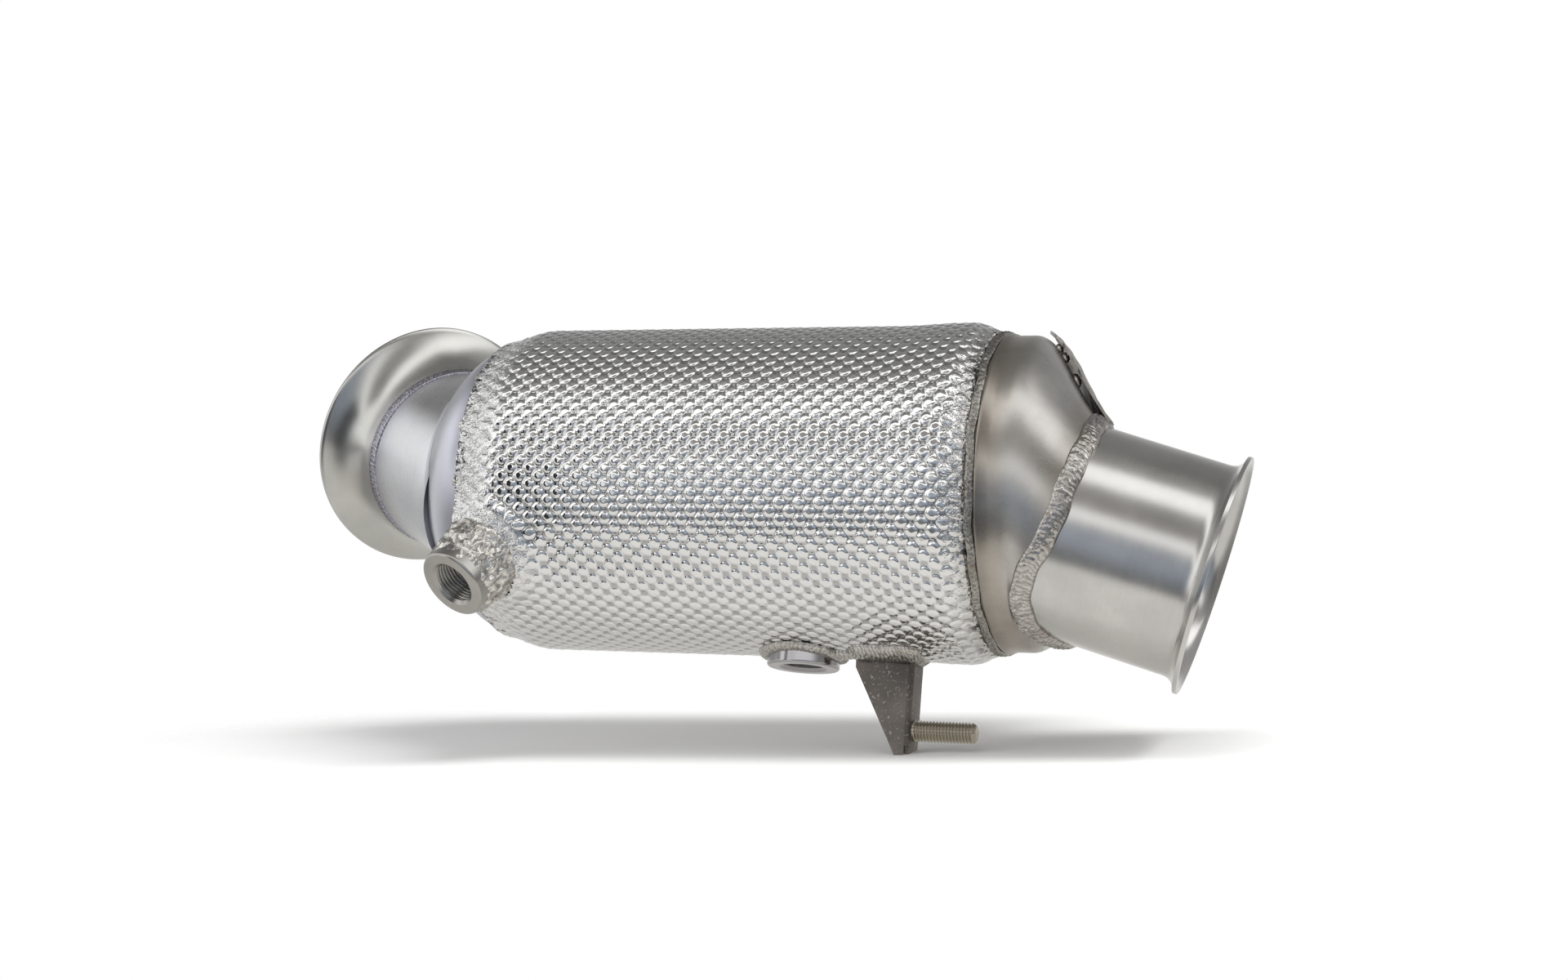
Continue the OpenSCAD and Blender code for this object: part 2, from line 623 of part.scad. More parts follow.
// The bent sheet before its root is shaped to the can: a gusset along the can and a plate
// across it, with their corners cut off at the tip.
module bracket_blank() {
    x = -bracket_back;
    y = -bracket_width / 2;
    tip = bracket_reach - 1.5;
    top = -shell_r + root;
    step = 2.2;
    bend_r = bracket_sheet;
    translate([0, y + bracket_sheet, 0]) rotate([90, 0, 0]) linear_extrude(bracket_sheet)
        polygon([[x - 1.5, top], [x - 1.5, -tip + 2.5], [x - 2.5, -tip], [x - 3.6, -tip - 0.6],
            [x - 4.6, -tip + 0.6], [x - gusset_len, -shield_r - 5], [bracket_start, top]]);
    translate([x - bracket_sheet, 0, 0]) rotate([90, 0, 90]) linear_extrude(bracket_sheet)
        polygon([[y + step, top], [y + step, -tip + 3], [y + 2 * step, -tip - 0.5],
            [y + 3 * step, -bracket_reach], [-y - 1.6 * step, -bracket_reach + 0.8],
            [-y - 0.4 * step, -tip + 1.5], [-y, -tip + 5], [-y, top]]);
    // The bend between gusset and plate.
    translate([x - bend_r, y + bend_r, -tip + 5])
        cylinder(r = bend_r, h = tip - 5 + top, $fn = 48);
}

module hanger_bracket() {
    color([0.36, 0.33, 0.3]) difference() {
        bracket_blank();
        shield_body(0.3);
    }
}

module bracket_weld() {
    x = -bracket_back;
    y = -bracket_width / 2;
    z = -sqrt(pow(shield_r, 2) - y * y);
    w = gusset_bead_w;
    h = gusset_bead_h;
    color([0.5, 0.47, 0.43]) difference() {
        union() {
            // The fillet along the gusset, wide on the can and low on the sheet.
            translate([bracket_start, 0, 0]) rotate([90, 0, 90]) linear_extrude(gusset_len + h)
                polygon([[y + 1, z - h], [y, z - h], [y - 0.3 * w, z - 0.8 * h],
                    [y - 0.65 * w, z - 0.28 * h], [y - w, z + 0.5 * h], [y - 1.05 * w, z + 0.75 * w],
                    [y + 1, z + 0.75 * w]]);
            translate([x + plate_bead_r / 6, y, z - plate_bead_r / 3]) rotate([-90, 0, 0])
                cylinder(r = plate_bead_r, h = bracket_width);
        }
        bracket_blank();
        shield_body(eps);
    }
}

module stud() {
    r = stud_d / 2;
    color([0.55, 0.5, 0.4]) translate([-bracket_back, 0, -stud_reach]) rotate([0, 90, 0])
        rotate_extrude() polygon([[0, 0], [r, 0], [r, stud_len - stud_chamfer],
            [r - stud_chamfer, stud_len], [0, stud_len]]);
}

// A piece that follows the outlet cone between two angles and two shares of its length, from a
// height under to a height over the cone, both functions of the share. Rough edges wander.
module on_cone(from, to, start, end, cols, rows, under, over, rough = 0) {
    function edge(i, j) = i == 0 || i == cols || j == 0 || j == rows ? rough : 0;
    function wander(i, j) = 0.55 * sin(i * 97 + j * 61) + 0.45 * sin(i * 41 + j * 139);
    function spot(i, j, height) =
        let (a = from + (to - from) * i / cols + 1.2 * edge(i, j) * wander(i, j),
            t = start + (end - start) * j / rows + 0.015 * edge(i, j) * wander(j, i))
        cone_point(a, t, height(t));
    closed_grids([for (j = [0:rows], i = [0:cols]) spot(i, j, over)],
        [for (j = [0:rows], i = [0:cols]) spot(i, j, under)], rows + 1, rows + 1, cols + 1, false);
}

// Thin plate that stands over the far upper side of the outlet cone.
plate_under = function (t) 1.4 + 1.2 * sin(180 * t);
plate_over = function (t) plate_under(t) + plate_sheet;

module cover_plate() {
    color([0.5, 0.48, 0.45])
        on_cone(-150, -86, 0.1, 0.94, 12, 9, plate_under, plate_over, 1);
}

module cover_plate_tacks() {
    foot = function (t) 2 * eps;
    top = function (t) plate_under(t) - 0.25;
    color([0.55, 0.52, 0.48]) for (p = [[-91, 0.3], [-95, 0.7], [-144, 0.28], [-146, 0.7]])
        on_cone(p[0] - 3, p[0] + 3, p[1] - 0.05, p[1] + 0.05, 3, 2, foot, top);
}

// Moves the origin from the centre of the can's rear rim to the inlet face.
module from_inlet() {
    translate(-inlet_c) children();
}

from_inlet() inlet_flange();
from_inlet() inlet_flange_weld();
from_inlet() inlet_pipe();
from_inlet() inlet_pipe_weld();
from_inlet() inlet_cone();
from_inlet() converter_shell();
from_inlet() honeycomb();
from_inlet() honeycomb_mat();
from_inlet() insulation_mat();
from_inlet() heat_shield();
from_inlet() shield_front_tacks();
from_inlet() shield_rear_weld();
from_inlet() outlet_cone();
from_inlet() saddle_weld();
from_inlet() outlet_pipe();
from_inlet() front_sensor_boss();
from_inlet() front_boss_weld();
from_inlet() rear_sensor_boss();
from_inlet() rear_boss_weld();
from_inlet() hanger_bracket();
from_inlet() bracket_weld();
from_inlet() stud();
from_inlet() cover_plate();
from_inlet() cover_plate_tacks();
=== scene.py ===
"""Looks of a downpipe with a catalytic converter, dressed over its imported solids.

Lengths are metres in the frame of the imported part. The forms are laid out in the can's own frame,
whose origin is the centre of the can's rear rim, in millimetres, and Axis turns them into metres.
"""

import logging
import math
from dataclasses import dataclass
from enum import Enum
from typing import Callable, Iterable, Sequence, Union

import bmesh
import bpy
from mathutils import Matrix, Vector


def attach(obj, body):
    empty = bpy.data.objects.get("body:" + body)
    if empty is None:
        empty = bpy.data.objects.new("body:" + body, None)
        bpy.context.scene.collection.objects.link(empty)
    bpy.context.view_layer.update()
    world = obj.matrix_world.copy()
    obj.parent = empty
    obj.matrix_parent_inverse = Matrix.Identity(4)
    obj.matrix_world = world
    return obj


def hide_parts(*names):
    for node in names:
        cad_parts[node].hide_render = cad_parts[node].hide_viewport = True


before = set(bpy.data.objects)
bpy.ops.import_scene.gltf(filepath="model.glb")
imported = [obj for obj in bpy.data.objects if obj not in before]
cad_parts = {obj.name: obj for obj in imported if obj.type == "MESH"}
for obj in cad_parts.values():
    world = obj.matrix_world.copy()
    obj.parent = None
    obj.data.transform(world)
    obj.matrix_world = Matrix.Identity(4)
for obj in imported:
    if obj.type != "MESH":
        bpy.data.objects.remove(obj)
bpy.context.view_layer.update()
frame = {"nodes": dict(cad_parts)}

MM = 0.001
LOG = logging.getLogger("downpipe")
WHITE = (1.0, 1.0, 1.0)

Socket = bpy.types.NodeSocket
Value = Union[Socket, float, Sequence[float]]
Colour = tuple[float, float, float]
Ring = list[Vector]
Place = Union[float, Vector]
Finishes = dict[str, bpy.types.Material]


def smooth(t: float) -> float:
    """Returns a share that eases in and out, from 0 at t = 0 to 1 at t = 1."""
    u = min(1.0, max(0.0, t))
    return u * u * (3 - 2 * u)


def cubic(a: Place, b: Place, c: Place, d: Place, t: float) -> Place:
    """Returns the number or point on the cubic curve with four control values."""
    return (1 - t) ** 3 * a + 3 * t * (1 - t) ** 2 * b + 3 * t * t * (1 - t) * c + t**3 * d


def bulge(t: float) -> float:
    """Returns the height of a half circle at a share of its width."""
    return math.sqrt(max(0.0, 1 - (2 * t - 1) ** 2))


def wobble(angle: float, *waves: tuple[float, float, float]) -> float:
    """Returns a sum of sines round a circle, each with its height, its count and its lead."""
    return sum(height * math.sin(math.radians(angle * count + lead)) for height, count, lead in waves)


def curve(points: Sequence[tuple[float, float]], steps: int) -> list[tuple[float, float]]:
    """Walks a cubic curve in a plane.

    Args:
        points: Its four control points.
        steps: How many stretches to cut it into.

    Returns:
        The steps + 1 points along it.
    """
    (ax, ay), (bx, by), (cx, cy), (dx, dy) = points
    return [
        (cubic(ax, bx, cx, dx, i / steps), cubic(ay, by, cy, dy, i / steps))
        for i in range(steps + 1)
    ]


@dataclass(frozen=True)
class Axis:
    """The frame of a round piece: angle 0 is its near side and 90 its underside."""

    origin: Vector
    along: Vector
    near: Vector
    down: Vector

    def point(self, angle: float, radius: float, distance: float) -> Vector:
        """Returns a point in metres.

        Args:
            angle: Degrees round the axis.
            radius: Millimetres from the axis.
            distance: Millimetres along the axis from its origin.
        """
        return self.origin + (self.along * distance + self.outward(angle) * radius) * MM

    def outward(self, angle: float) -> Vector:
        """Returns the unit direction away from the axis at an angle."""
        a = math.radians(angle)
        return self.near * math.cos(a) + self.down * math.sin(a)


def axis_at(origin: Vector, yaw: float, pitch: float) -> Axis:
    """Makes the frame of a pipe.

    Args:
        origin: A point on its axis, in metres.
        yaw: Degrees that it swings from +X toward +Y.
        pitch: Degrees that it points up.

    Returns:
        The frame, whose near side is level and faces -Y where the yaw is small.
    """
    y, p = math.radians(yaw), math.radians(pitch)
    along = Vector((math.cos(p) * math.cos(y), math.cos(p) * math.sin(y), math.sin(p)))
    near = Vector((math.sin(y), -math.cos(y), 0.0))
    return Axis(origin, along, near, along.cross(near))


@dataclass(frozen=True)
class Layout:
    """Where the pipes and bosses lie, in millimetres in the can's frame.

    shield_neck and shield_tail say how far the foil narrows at its ends, and over what length.
    shield_swell says how far it widens again, and from where to where. The three values that end
    in _deep say how far behind a face its axis is surely inside the can.
    """

    shell_r: float = 60.0
    shield_r: float = 64.4
    shield_len: float = 202.0
    shield_neck: tuple[float, float] = (4.0, 18.0)
    shield_tail: tuple[float, float] = (3.6, 11.0)
    shield_swell: tuple[float, float, float] = (0.9, -40.0, -16.0)
    cone_base: float = -193.0
    cone_len: float = 33.0
    cone_small_r: float = 36.5
    inlet: tuple[float, float, float] = (-263.8, 36.1, 28.5)
    inlet_yaw: float = 180 - 33.7
    inlet_pitch: float = 23.1
    inlet_r: float = 37.5
    outlet: tuple[float, float, float] = (81.5, -4.9, -31.4)
    outlet_yaw: float = 8.4
    outlet_pitch: float = -15.6
    outlet_r: float = 40.35
    front_boss: tuple[float, float, float] = (-197.3, -61.1, -51.8)
    front_boss_yaw: float = -90 - 25.6
    front_boss_pitch: float = -45.4
    rear_boss: tuple[float, float, float] = (-75.2, 0.0, -69.4)
    inlet_deep: float = 85.0
    front_boss_deep: float = 45.0
    rear_boss_deep: float = 30.0
    boss_r: float = 14.0
    boss_bore_r: float = 8.2
    bracket_x: float = -29.5
    stud_z: float = -91.9
    stud_r: float = 4.0
    stud_len: float = 24.4

    @property
    def origin(self) -> Vector:
        """The can's origin in the part's frame, in metres: the inlet face is the part's origin."""
        return -Vector(self.inlet) * MM

    def place(self, point: Sequence[float]) -> Vector:
        """Returns a point of the can's frame, given in millimetres, in metres."""
        return self.origin + Vector(point) * MM

    @property
    def can(self) -> Axis:
        """The can's own axis, from its rear rim toward the outlet."""
        return axis_at(self.origin, 0, 0)

    @property
    def inlet_axis(self) -> Axis:
        """The inlet's axis, from its face outwards."""
        return axis_at(self.place(self.inlet), self.inlet_yaw, self.inlet_pitch)

    @property
    def outlet_axis(self) -> Axis:
        """The outlet's axis, from its face outwards."""
        return axis_at(self.place(self.outlet), self.outlet_yaw, self.outlet_pitch)

    @property
    def front_boss_axis(self) -> Axis:
        """The front boss's axis, from its face outwards."""
        return axis_at(self.place(self.front_boss), self.front_boss_yaw, self.front_boss_pitch)

    @property
    def front_boss_foot(self) -> Vector:
        """Where the front boss's axis meets the heat shield, in millimetres in the can's frame."""
        axis = self.front_boss_axis
        point = axis.point(0, 0, self.meets_can(axis, 0, 0, self.front_boss_deep, shield=True))
        return (point - self.origin) / MM

    @property
    def rear_boss_axis(self) -> Axis:
        """The rear boss's axis, from its face downwards."""
        return Axis(
            self.place(self.rear_boss), Vector((0, 0, -1)), Vector((0, -1, 0)), Vector((-1, 0, 0))
        )

    def cone_side(self, wall: float, steps: int) -> list[tuple[float, float]]:
        """Walks the side of the inlet cone.

        Args:
            wall: How far inside its outer face, in millimetres.
            steps: How many stretches to cut it into.

        Returns:
            Distances along the can with their radii, from its base to its small end.
        """
        base, reach, r = self.cone_base, self.cone_len, self.shell_r - wall
        return curve(
            [
                (base, r),
                (base - 0.3 * reach, r),
                (base - 0.64 * reach, r - 4),
                (base - reach, self.cone_small_r - wall),
            ],
            steps,
        )

    def cone_r(self, x: float) -> float:
        """Returns the radius of the shell or of the inlet cone at a distance along the can."""
        if x >= self.cone_base:
            return self.shell_r
        side = self.cone_side(0, 48)
        for (x0, r0), (x1, r1) in zip(side, side[1:]):
            if x >= x1:
                return r0 + (r1 - r0) * (x0 - x) / (x0 - x1)
        return self.cone_small_r

    def shield_profile(self, x: float) -> float:
        """Returns the heat shield's mean radius at a distance along the can."""
        neck, neck_len = self.shield_neck
        tail, tail_len = self.shield_tail
        swell, start, end = self.shield_swell
        front = neck * smooth((-self.shield_len + neck_len - x) / neck_len)
        rear = tail * smooth((x + tail_len) / tail_len)
        return self.shield_r - front - rear + swell * smooth((x - start) / (end - start))

    def outside(self, point: Vector, shield: bool) -> bool:
        """Tells if a point lies outside the can.

        Args:
            point: A point in metres in the part's frame.
            shield: Whether the can is taken with its heat shield.

        Returns:
            True where the point is clear of it.
        """
        p = (point - self.origin) / MM
        if p.x < self.cone_base - self.cone_len:
            return True
        r = self.cone_r(p.x)
        if shield and p.x > -self.shield_len:
            r = self.shield_profile(p.x)
        return math.hypot(p.y, p.z) > r

    def meets_can(self, axis: Axis, angle: float, radius: float, deep: float,
                  shield: bool = False) -> float:
        """Finds where a line along an axis meets the can.

        Args:
            axis: The axis, whose origin lies outside the can.
            angle: Degrees round it.
            radius: Millimetres from it.
            deep: A distance, in millimetres behind the origin, at which the line is inside.
            shield: Whether the can is taken with its heat shield.

        Returns:
            The distance from the axis's origin, in millimetres, which is negative.
        """
        near, far = 0.0, -deep
        for _ in range(22):
            mid = (near + far) / 2
            if self.outside(axis.point(angle, radius, mid), shield):
                near = mid
            else:
                far = mid
        return near


LAYOUT = Layout()


class Graph:
    """Adds nodes to a tree with short calls."""

    def __init__(self, tree: bpy.types.NodeTree) -> None:
        """Starts on an empty tree."""
        self.tree = tree

    def add(self, kind: str, inputs: dict[Union[str, int], Value] | None = None,
            **settings: object) -> bpy.types.Node:
        """Adds a node.

        Args:
            kind: The node's type name.
            inputs: Values or links for its sockets, by name or number.
            settings: The node's own properties.

        Returns:
            The new node.
        """
        node = self.tree.nodes.new(kind)
        for name, value in settings.items():
            setattr(node, name, value)
        for key, value in (inputs or {}).items():
            self.feed(node.inputs[key], value)
        return node

    def feed(self, socket: Socket, value: Value) -> None:
        """Links a socket, or sets its own value."""
        if isinstance(value, Socket):
            self.tree.links.new(value, socket)
        elif isinstance(value, tuple) and len(value) == 3 and socket.type == "RGBA":
            socket.default_value = (*value, 1.0)
        else:
            socket.default_value = value

    def math(self, operation: str, a: Value, b: Value = 0.0, c: Value = 0.0) -> Socket:
        """Returns the result of a Math node."""
        return self.add("ShaderNodeMath", {0: a, 1: b, 2: c}, operation=operation).outputs[0]

    def times(self, a: Value, b: Value) -> Socket:
        """Returns a times b."""
        return self.math("MULTIPLY", a, b)

    def plus(self, a: Value, b: Value) -> Socket:
        """Returns a plus b."""
        return self.math("ADD", a, b)

    def minus(self, a: Value, b: Value) -> Socket:
        """Returns a minus b."""
        return self.math("SUBTRACT", a, b)

    def linear(self, a: Value, factor: Value, start: Value) -> Socket:
        """Returns a times a factor, plus a start."""
        return self.math("MULTIPLY_ADD", a, factor, start)

    def vector(self, operation: str, a: Value, b: Value = (0.0, 0.0, 0.0)) -> bpy.types.Node:
        """Returns a Vector Math node, whose outputs are its vector and its number."""
        return self.add("ShaderNodeVectorMath", {0: a, 1: b}, operation=operation)

    def dot(self, a: Value, b: Value) -> Socket:
        """Returns the dot product of two vectors."""
        return self.vector("DOT_PRODUCT", a, b).outputs["Value"]

    def scaled(self, a: Value, factor: Value) -> Socket:
        """Returns a vector times a number."""
        node = self.add("ShaderNodeVectorMath", {0: a, "Scale": factor}, operation="SCALE")
        return node.outputs["Vector"]

    def join(self, x: Value, y: Value, z: Value) -> Socket:
        """Returns the vector with these three parts."""
        return self.add("ShaderNodeCombineXYZ", {0: x, 1: y, 2: z}).outputs[0]

    def split(self, a: Value) -> tuple[Socket, Socket, Socket]:
        """Returns the three parts of a vector."""
        outputs = self.add("ShaderNodeSeparateXYZ", {0: a}).outputs
        return outputs[0], outputs[1], outputs[2]

    def noise(self, at: Value, scale: float, detail: float = 2.0, rough: float = 0.5) -> Socket:
        """Returns a noise between 0 and 1."""
        inputs = {"Vector": at, "Scale": scale, "Detail": detail, "Roughness": rough}
        node = self.add("ShaderNodeTexNoise", inputs)
        return node.outputs[0]

    def span(self, value: Value, low: float, high: float, to_low: float = 0.0,
             to_high: float = 1.0) -> Socket:
        """Returns a value eased from one range to another and held at its ends."""
        inputs = {0: value, 1: low, 2: high, 3: to_low, 4: to_high}
        node = self.add("ShaderNodeMapRange", inputs, interpolation_type="SMOOTHSTEP")
        return node.outputs[0]

    def ramp(self, value: Value, stops: Sequence[tuple[float, Colour]]) -> Socket:
        """Returns the colour that a value has between coloured stops."""
        node = self.add("ShaderNodeValToRGB", {0: value})
        elements = node.color_ramp.elements
        while len(elements) < len(stops):
            elements.new(0.5)
        for element, (place, colour) in zip(elements, stops):
            element.position = place
            element.color = (*colour, 1.0)
        return node.outputs[0]

    def blend(self, share: Value, a: Value, b: Value, kind: str = "MIX") -> Socket:
        """Returns colour a mixed toward b."""
        inputs = {0: share, 6: a, 7: b}
        node = self.add("ShaderNodeMix", inputs, data_type="RGBA", blend_type=kind)
        return node.outputs[2]


class Surface(Graph):
    """Builds one material."""

    def __init__(self, name: str) -> None:
        """Makes the material and empties its tree."""
        self.material = bpy.data.materials.new(name)
        self.material.use_nodes = True
        super().__init__(self.material.node_tree)
        self.tree.nodes.clear()
        self.coords = self.add("ShaderNodeTexCoord")

    @property
    def place(self) -> Socket:
        """The point on the object, in metres."""
        return self.coords.outputs["Object"]

    @property
    def weave(self) -> Socket:
        """The point on the piece's own map, in metres along and across it."""
        return self.coords.outputs["UV"]

    def shaded(self, colour: Colour, level: Socket) -> Socket:
        """Returns a colour times a level."""
        return self.blend(1.0, colour, self.join(level, level, level), "MULTIPLY")

    def raised(self, height: Value, strength: float, distance: float) -> Socket:
        """Returns a normal bumped by a height."""
        inputs = {"Height": height, "Strength": strength, "Distance": distance}
        return self.add("ShaderNodeBump", inputs).outputs[0]

    def finish(self, colour: Value, roughness: Value, metallic: float, normal: Socket,
               **more: Value) -> bpy.types.Material:
        """Ends the material in one shader.

        Args:
            colour: Base colour.
            roughness: Roughness.
            metallic: 1 for bare metal.
            normal: A bumped normal.
            more: Other sockets of the shader, with _ for each space in the name.

        Returns:
            The material.
        """
        inputs = {
            "Base Color": colour, "Roughness": roughness, "Metallic": metallic, "Normal": normal
        }
        inputs.update({name.replace("_", " "): value for name, value in more.items()})
        return self.end(self.add("ShaderNodeBsdfPrincipled", inputs))

    def end(self, shader: bpy.types.Node) -> bpy.types.Material:
        """Gives a shader to the material's output and returns the material."""
        self.add("ShaderNodeOutputMaterial", {"Surface": shader.outputs[0]})
        return self.material


class Grain(Enum):
    """Which way a steel surface was brushed."""

    AROUND = "lines run round the piece, along the first direction of its map"
    RANDOM = "short lines run every way"


@dataclass(frozen=True)
class Tint:
    """A band of colour that heat or dirt leaves at a distance from a place."""

    origin: Vector
    along: Vector
    stops: tuple[tuple[float, Colour], ...]
    reach: float
    strength: float

    def share(self, g: Surface) -> Socket:
        """Returns how far a point lies along the band, from 0 to 1, with a wandering edge."""
        offset = g.vector("SUBTRACT", g.place, tuple(self.origin)).outputs[0]
        distance = g.dot(offset, tuple(self.along))
        wander = g.linear(g.noise(g.place, 60, 3), 0.3, -0.15)
        share = g.math("DIVIDE", distance, self.reach * MM)
        return g.plus(share, wander)


@dataclass(frozen=True)
class Steel:
    """Bare steel with brush lines, smudges and heat tints."""

    name: str
    colour: Colour
    roughness: float
    grain: Grain = Grain.AROUND
    brush: float = 0.12
    brush_depth: float = 0.06
    smudge: float = 0.1
    speckle: float = 0.0
    anisotropic: float = 0.0
    tints: tuple[Tint, ...] = ()

    def lines(self, g: Surface) -> Socket:
        """Returns the height of the brush lines."""
        if self.grain is Grain.AROUND:
            stretched = g.add("ShaderNodeMapping", {"Vector": g.weave, "Scale": (18.0, 3200.0, 1.0)})
            return g.noise(stretched.outputs[0], 1.0, 4, 0.7)
        first = g.add("ShaderNodeMapping", {
            "Vector": g.place, "Rotation": (0.4, 0.3, 0.7), "Scale": (160.0, 2600.0, 900.0)
        })
        second = g.add("ShaderNodeMapping", {
            "Vector": g.place, "Rotation": (-0.5, 0.6, -0.6), "Scale": (2600.0, 220.0, 900.0)
        })
        a = g.noise(first.outputs[0], 1.0, 3, 0.6)
        b = g.noise(second.outputs[0], 1.0, 3, 0.6)
        return g.times(g.plus(a, b), 0.5)

    def build(self) -> bpy.types.Material:
        """Makes the material."""
        g = Surface(self.name)
        lines = self.lines(g)
        patches = g.noise(g.place, 34, 5, 0.6)
        shade = g.span(patches, 0.3, 0.7, 1 - self.smudge, 1 + self.smudge * 0.5)
        streak = g.linear(lines, 0.16, 0.92)
        level = g.times(shade, streak)
        colour = g.shaded(self.colour, level)
        for tint in self.tints:
            share = tint.share(g)
            band = g.ramp(share, tint.stops)
            fade = g.times(g.span(share, 0.6, 1.0, 1.0, 0.0), tint.strength)
            inside = g.times(fade, g.math("GREATER_THAN", share, -0.4))
            colour = g.blend(inside, colour, band, "MULTIPLY")
        if self.speckle:
            spots = g.span(g.noise(g.place, 900, 2, 0.7), 0.6, 0.72)
            colour = g.blend(g.times(spots, self.speckle), colour, (0.75, 0.72, 0.68))
        uneven = g.linear(patches, 0.12, self.roughness - 0.06)
        rough = g.linear(lines, 0.06, uneven)
        normal = g.raised(lines, self.brush, self.brush_depth * MM)
        extra: dict[str, Value] = {}
        if self.anisotropic:
            extra["Anisotropic"] = self.anisotropic
            extra["Anisotropic_Rotation"] = 0.25
            extra["Tangent"] = g.add("ShaderNodeTangent", direction_type="UV_MAP").outputs[0]
        return g.finish(colour, rough, 1.0, normal, **extra)


@dataclass(frozen=True)
class Emboss:
    """The cells pressed into the heat shield's foil, in millimetres.

    The crumpled zones run from front_crumple's first distance behind the front rim to its second,
    within boss_crumple's distances of the front boss, and between rear_crumple's places.
    """

    pitch: float = 7.7
    round_count: int = 64
    swell: float = 0.3
    depth: float = 1.15
    flat: float = 0.8
    along: float = 0.4
    around: float = 0.25
    button: float = 0.22
    button_fall: float = 7.0
    front_crumple: tuple[float, float] = (7.0, 21.0)
    boss_crumple: tuple[float, float] = (17.0, 25.0)
    rear_crumple: tuple[float, float] = (-14.0, -3.0)

    def phases(self, g: Graph, x: Value, angle: Value) -> tuple[Socket, Socket, Socket, Socket]:
        """Lays the pattern on the foil.

        Args:
            g: The tree to build in.
            x: Millimetres along the can.
            angle: The angle round it, in radians.

        Returns:
            The phase along the can, the phase round it, how crumpled the foil is there, and the
            point on which its creases depend.
        """
        spot = g.join(g.times(g.math("COSINE", angle), LAYOUT.shell_r),
                      g.times(g.math("SINE", angle), LAYOUT.shell_r), x)
        near, far = (distance - LAYOUT.shield_len for distance in self.front_crumple)
        front = g.span(x, near, far, 1.0, 0.0)
        front = g.math("MAXIMUM", front, self.near_boss(g, x, angle, *self.boss_crumple))
        ends = g.math("MAXIMUM", front, g.span(x, *self.rear_crumple, 0.0, 0.5))
        warp = g.linear(g.noise(spot, 0.16, 2), 1.6, -0.8)
        warp = g.times(g.times(warp, ends), 2 * math.pi)
        a = g.linear(x, 2 * math.pi / self.pitch, warp)
        b = g.linear(angle, float(self.round_count), warp)
        return a, b, ends, spot

    def near_boss(self, g: Graph, x: Value, angle: Value, inside: float, outside: float) -> Socket:
        """Returns 1 within a distance of the front boss, falling to 0 at a farther one."""
        middle = LAYOUT.front_boss_foot
        along = g.minus(x, middle.x)
        turn = math.atan2(-middle.z, -middle.y)
        around = g.times(g.minus(angle, turn), LAYOUT.shield_r)
        far = g.vector("LENGTH", g.join(along, around, 0.0)).outputs["Value"]
        return g.span(far, inside, outside, 1.0, 0.0)

    def wave(self, g: Graph, a: Value, b: Value) -> Socket:
        """Returns the plain wave under the cells, from -1 to 1."""
        return g.times(g.math("COSINE", a), g.math("COSINE", b))

    def cell(self, g: Graph, a: Value, b: Value) -> Socket:
        """Returns the cells' height, from 0 in a groove to about 1 on a flat top."""
        fine_a = g.times(g.math("COSINE", g.times(a, 2.0)), self.along)
        fine_b = g.times(g.math("COSINE", g.times(b, 2.0)), self.around)
        total = g.linear(self.wave(g, a, b), 2.0, g.plus(fine_a, fine_b))
        total = g.plus(total, 2.0 - self.along - self.around)
        fall = g.math("EXPONENT", g.times(total, -self.flat))
        middle = g.times(g.math("EXPONENT", g.times(total, -self.button_fall)), self.button)
        return g.plus(g.minus(1.0, fall), middle)


EMBOSS = Emboss()


@dataclass(frozen=True)
class Foil:
    """Bright embossed foil, burnt where it was welded at its ends, with painted shade in the grooves
    between its cells.
    """

    name: str = "embossed_foil"
    colour: Colour = (0.82, 0.82, 0.815)
    # Painted shade: the colour laid into the grooves between the cells.
    groove_colour: Colour = (0.1, 0.1, 0.105)
    rear_colour: Colour = (0.45, 0.42, 0.38)
    soot_colour: Colour = (0.05, 0.045, 0.05)
    roughness: float = 0.06
    # How far the painted shade in the grooves goes toward its colour.
    cavity: float = 0.45

    def build(self) -> bpy.types.Material:
        """Makes the material."""
        g = Surface(self.name)
        offset = g.vector("SUBTRACT", g.place, tuple(LAYOUT.origin)).outputs[0]
        x, y, z = g.split(g.scaled(offset, 1 / MM))
        angle = g.math("ARCTAN2", g.times(z, -1.0), g.times(y, -1.0))
        a, b, ends, spot = EMBOSS.phases(g, x, angle)
        cell = EMBOSS.cell(g, a, b)
        cells = g.times(cell, EMBOSS.depth)
        cells = g.linear(EMBOSS.wave(g, a, b), -EMBOSS.swell, cells)
        cells = g.times(cells, g.linear(ends, -0.55, 1.0))
        folds = g.math("ABSOLUTE", g.linear(g.noise(spot, 0.34, 3, 0.6), 2.0, -1.0))
        folds = g.times(folds, ends)
        waves = g.times(g.noise(spot, 0.12, 2, 0.5), 0.35)
        height = g.plus(g.minus(cells, folds), waves)
        front = g.span(x, -LAYOUT.shield_len, -LAYOUT.shield_len + 5, 1.0, 0.0)
        rear = g.span(x, -7.0, -0.5, 0.0, 1.0)
        burn = g.span(g.noise(g.place, 190, 3, 0.7), 0.56, 0.66)
        soot = g.times(g.math("MAXIMUM", front, rear), burn)
        # Painted shade: the grooves between the cells darken toward the groove colour, less where the
        # foil is crumpled.
        groove = g.times(g.span(cell, 0.2, 0.5, self.cavity, 0.0), g.linear(ends, -0.5, 1.0))
        colour = g.blend(groove, self.colour, self.groove_colour)
        colour = g.blend(g.times(rear, 0.5), colour, self.rear_colour)
        colour = g.blend(soot, colour, self.soot_colour)
        fine = g.noise(g.place, 420, 3, 0.6)
        rough = g.linear(fine, 0.06, self.roughness - 0.03)
        rough = g.plus(rough, g.times(soot, 0.4))
        return g.finish(colour, rough, 1.0, g.raised(height, 1.0, MM))


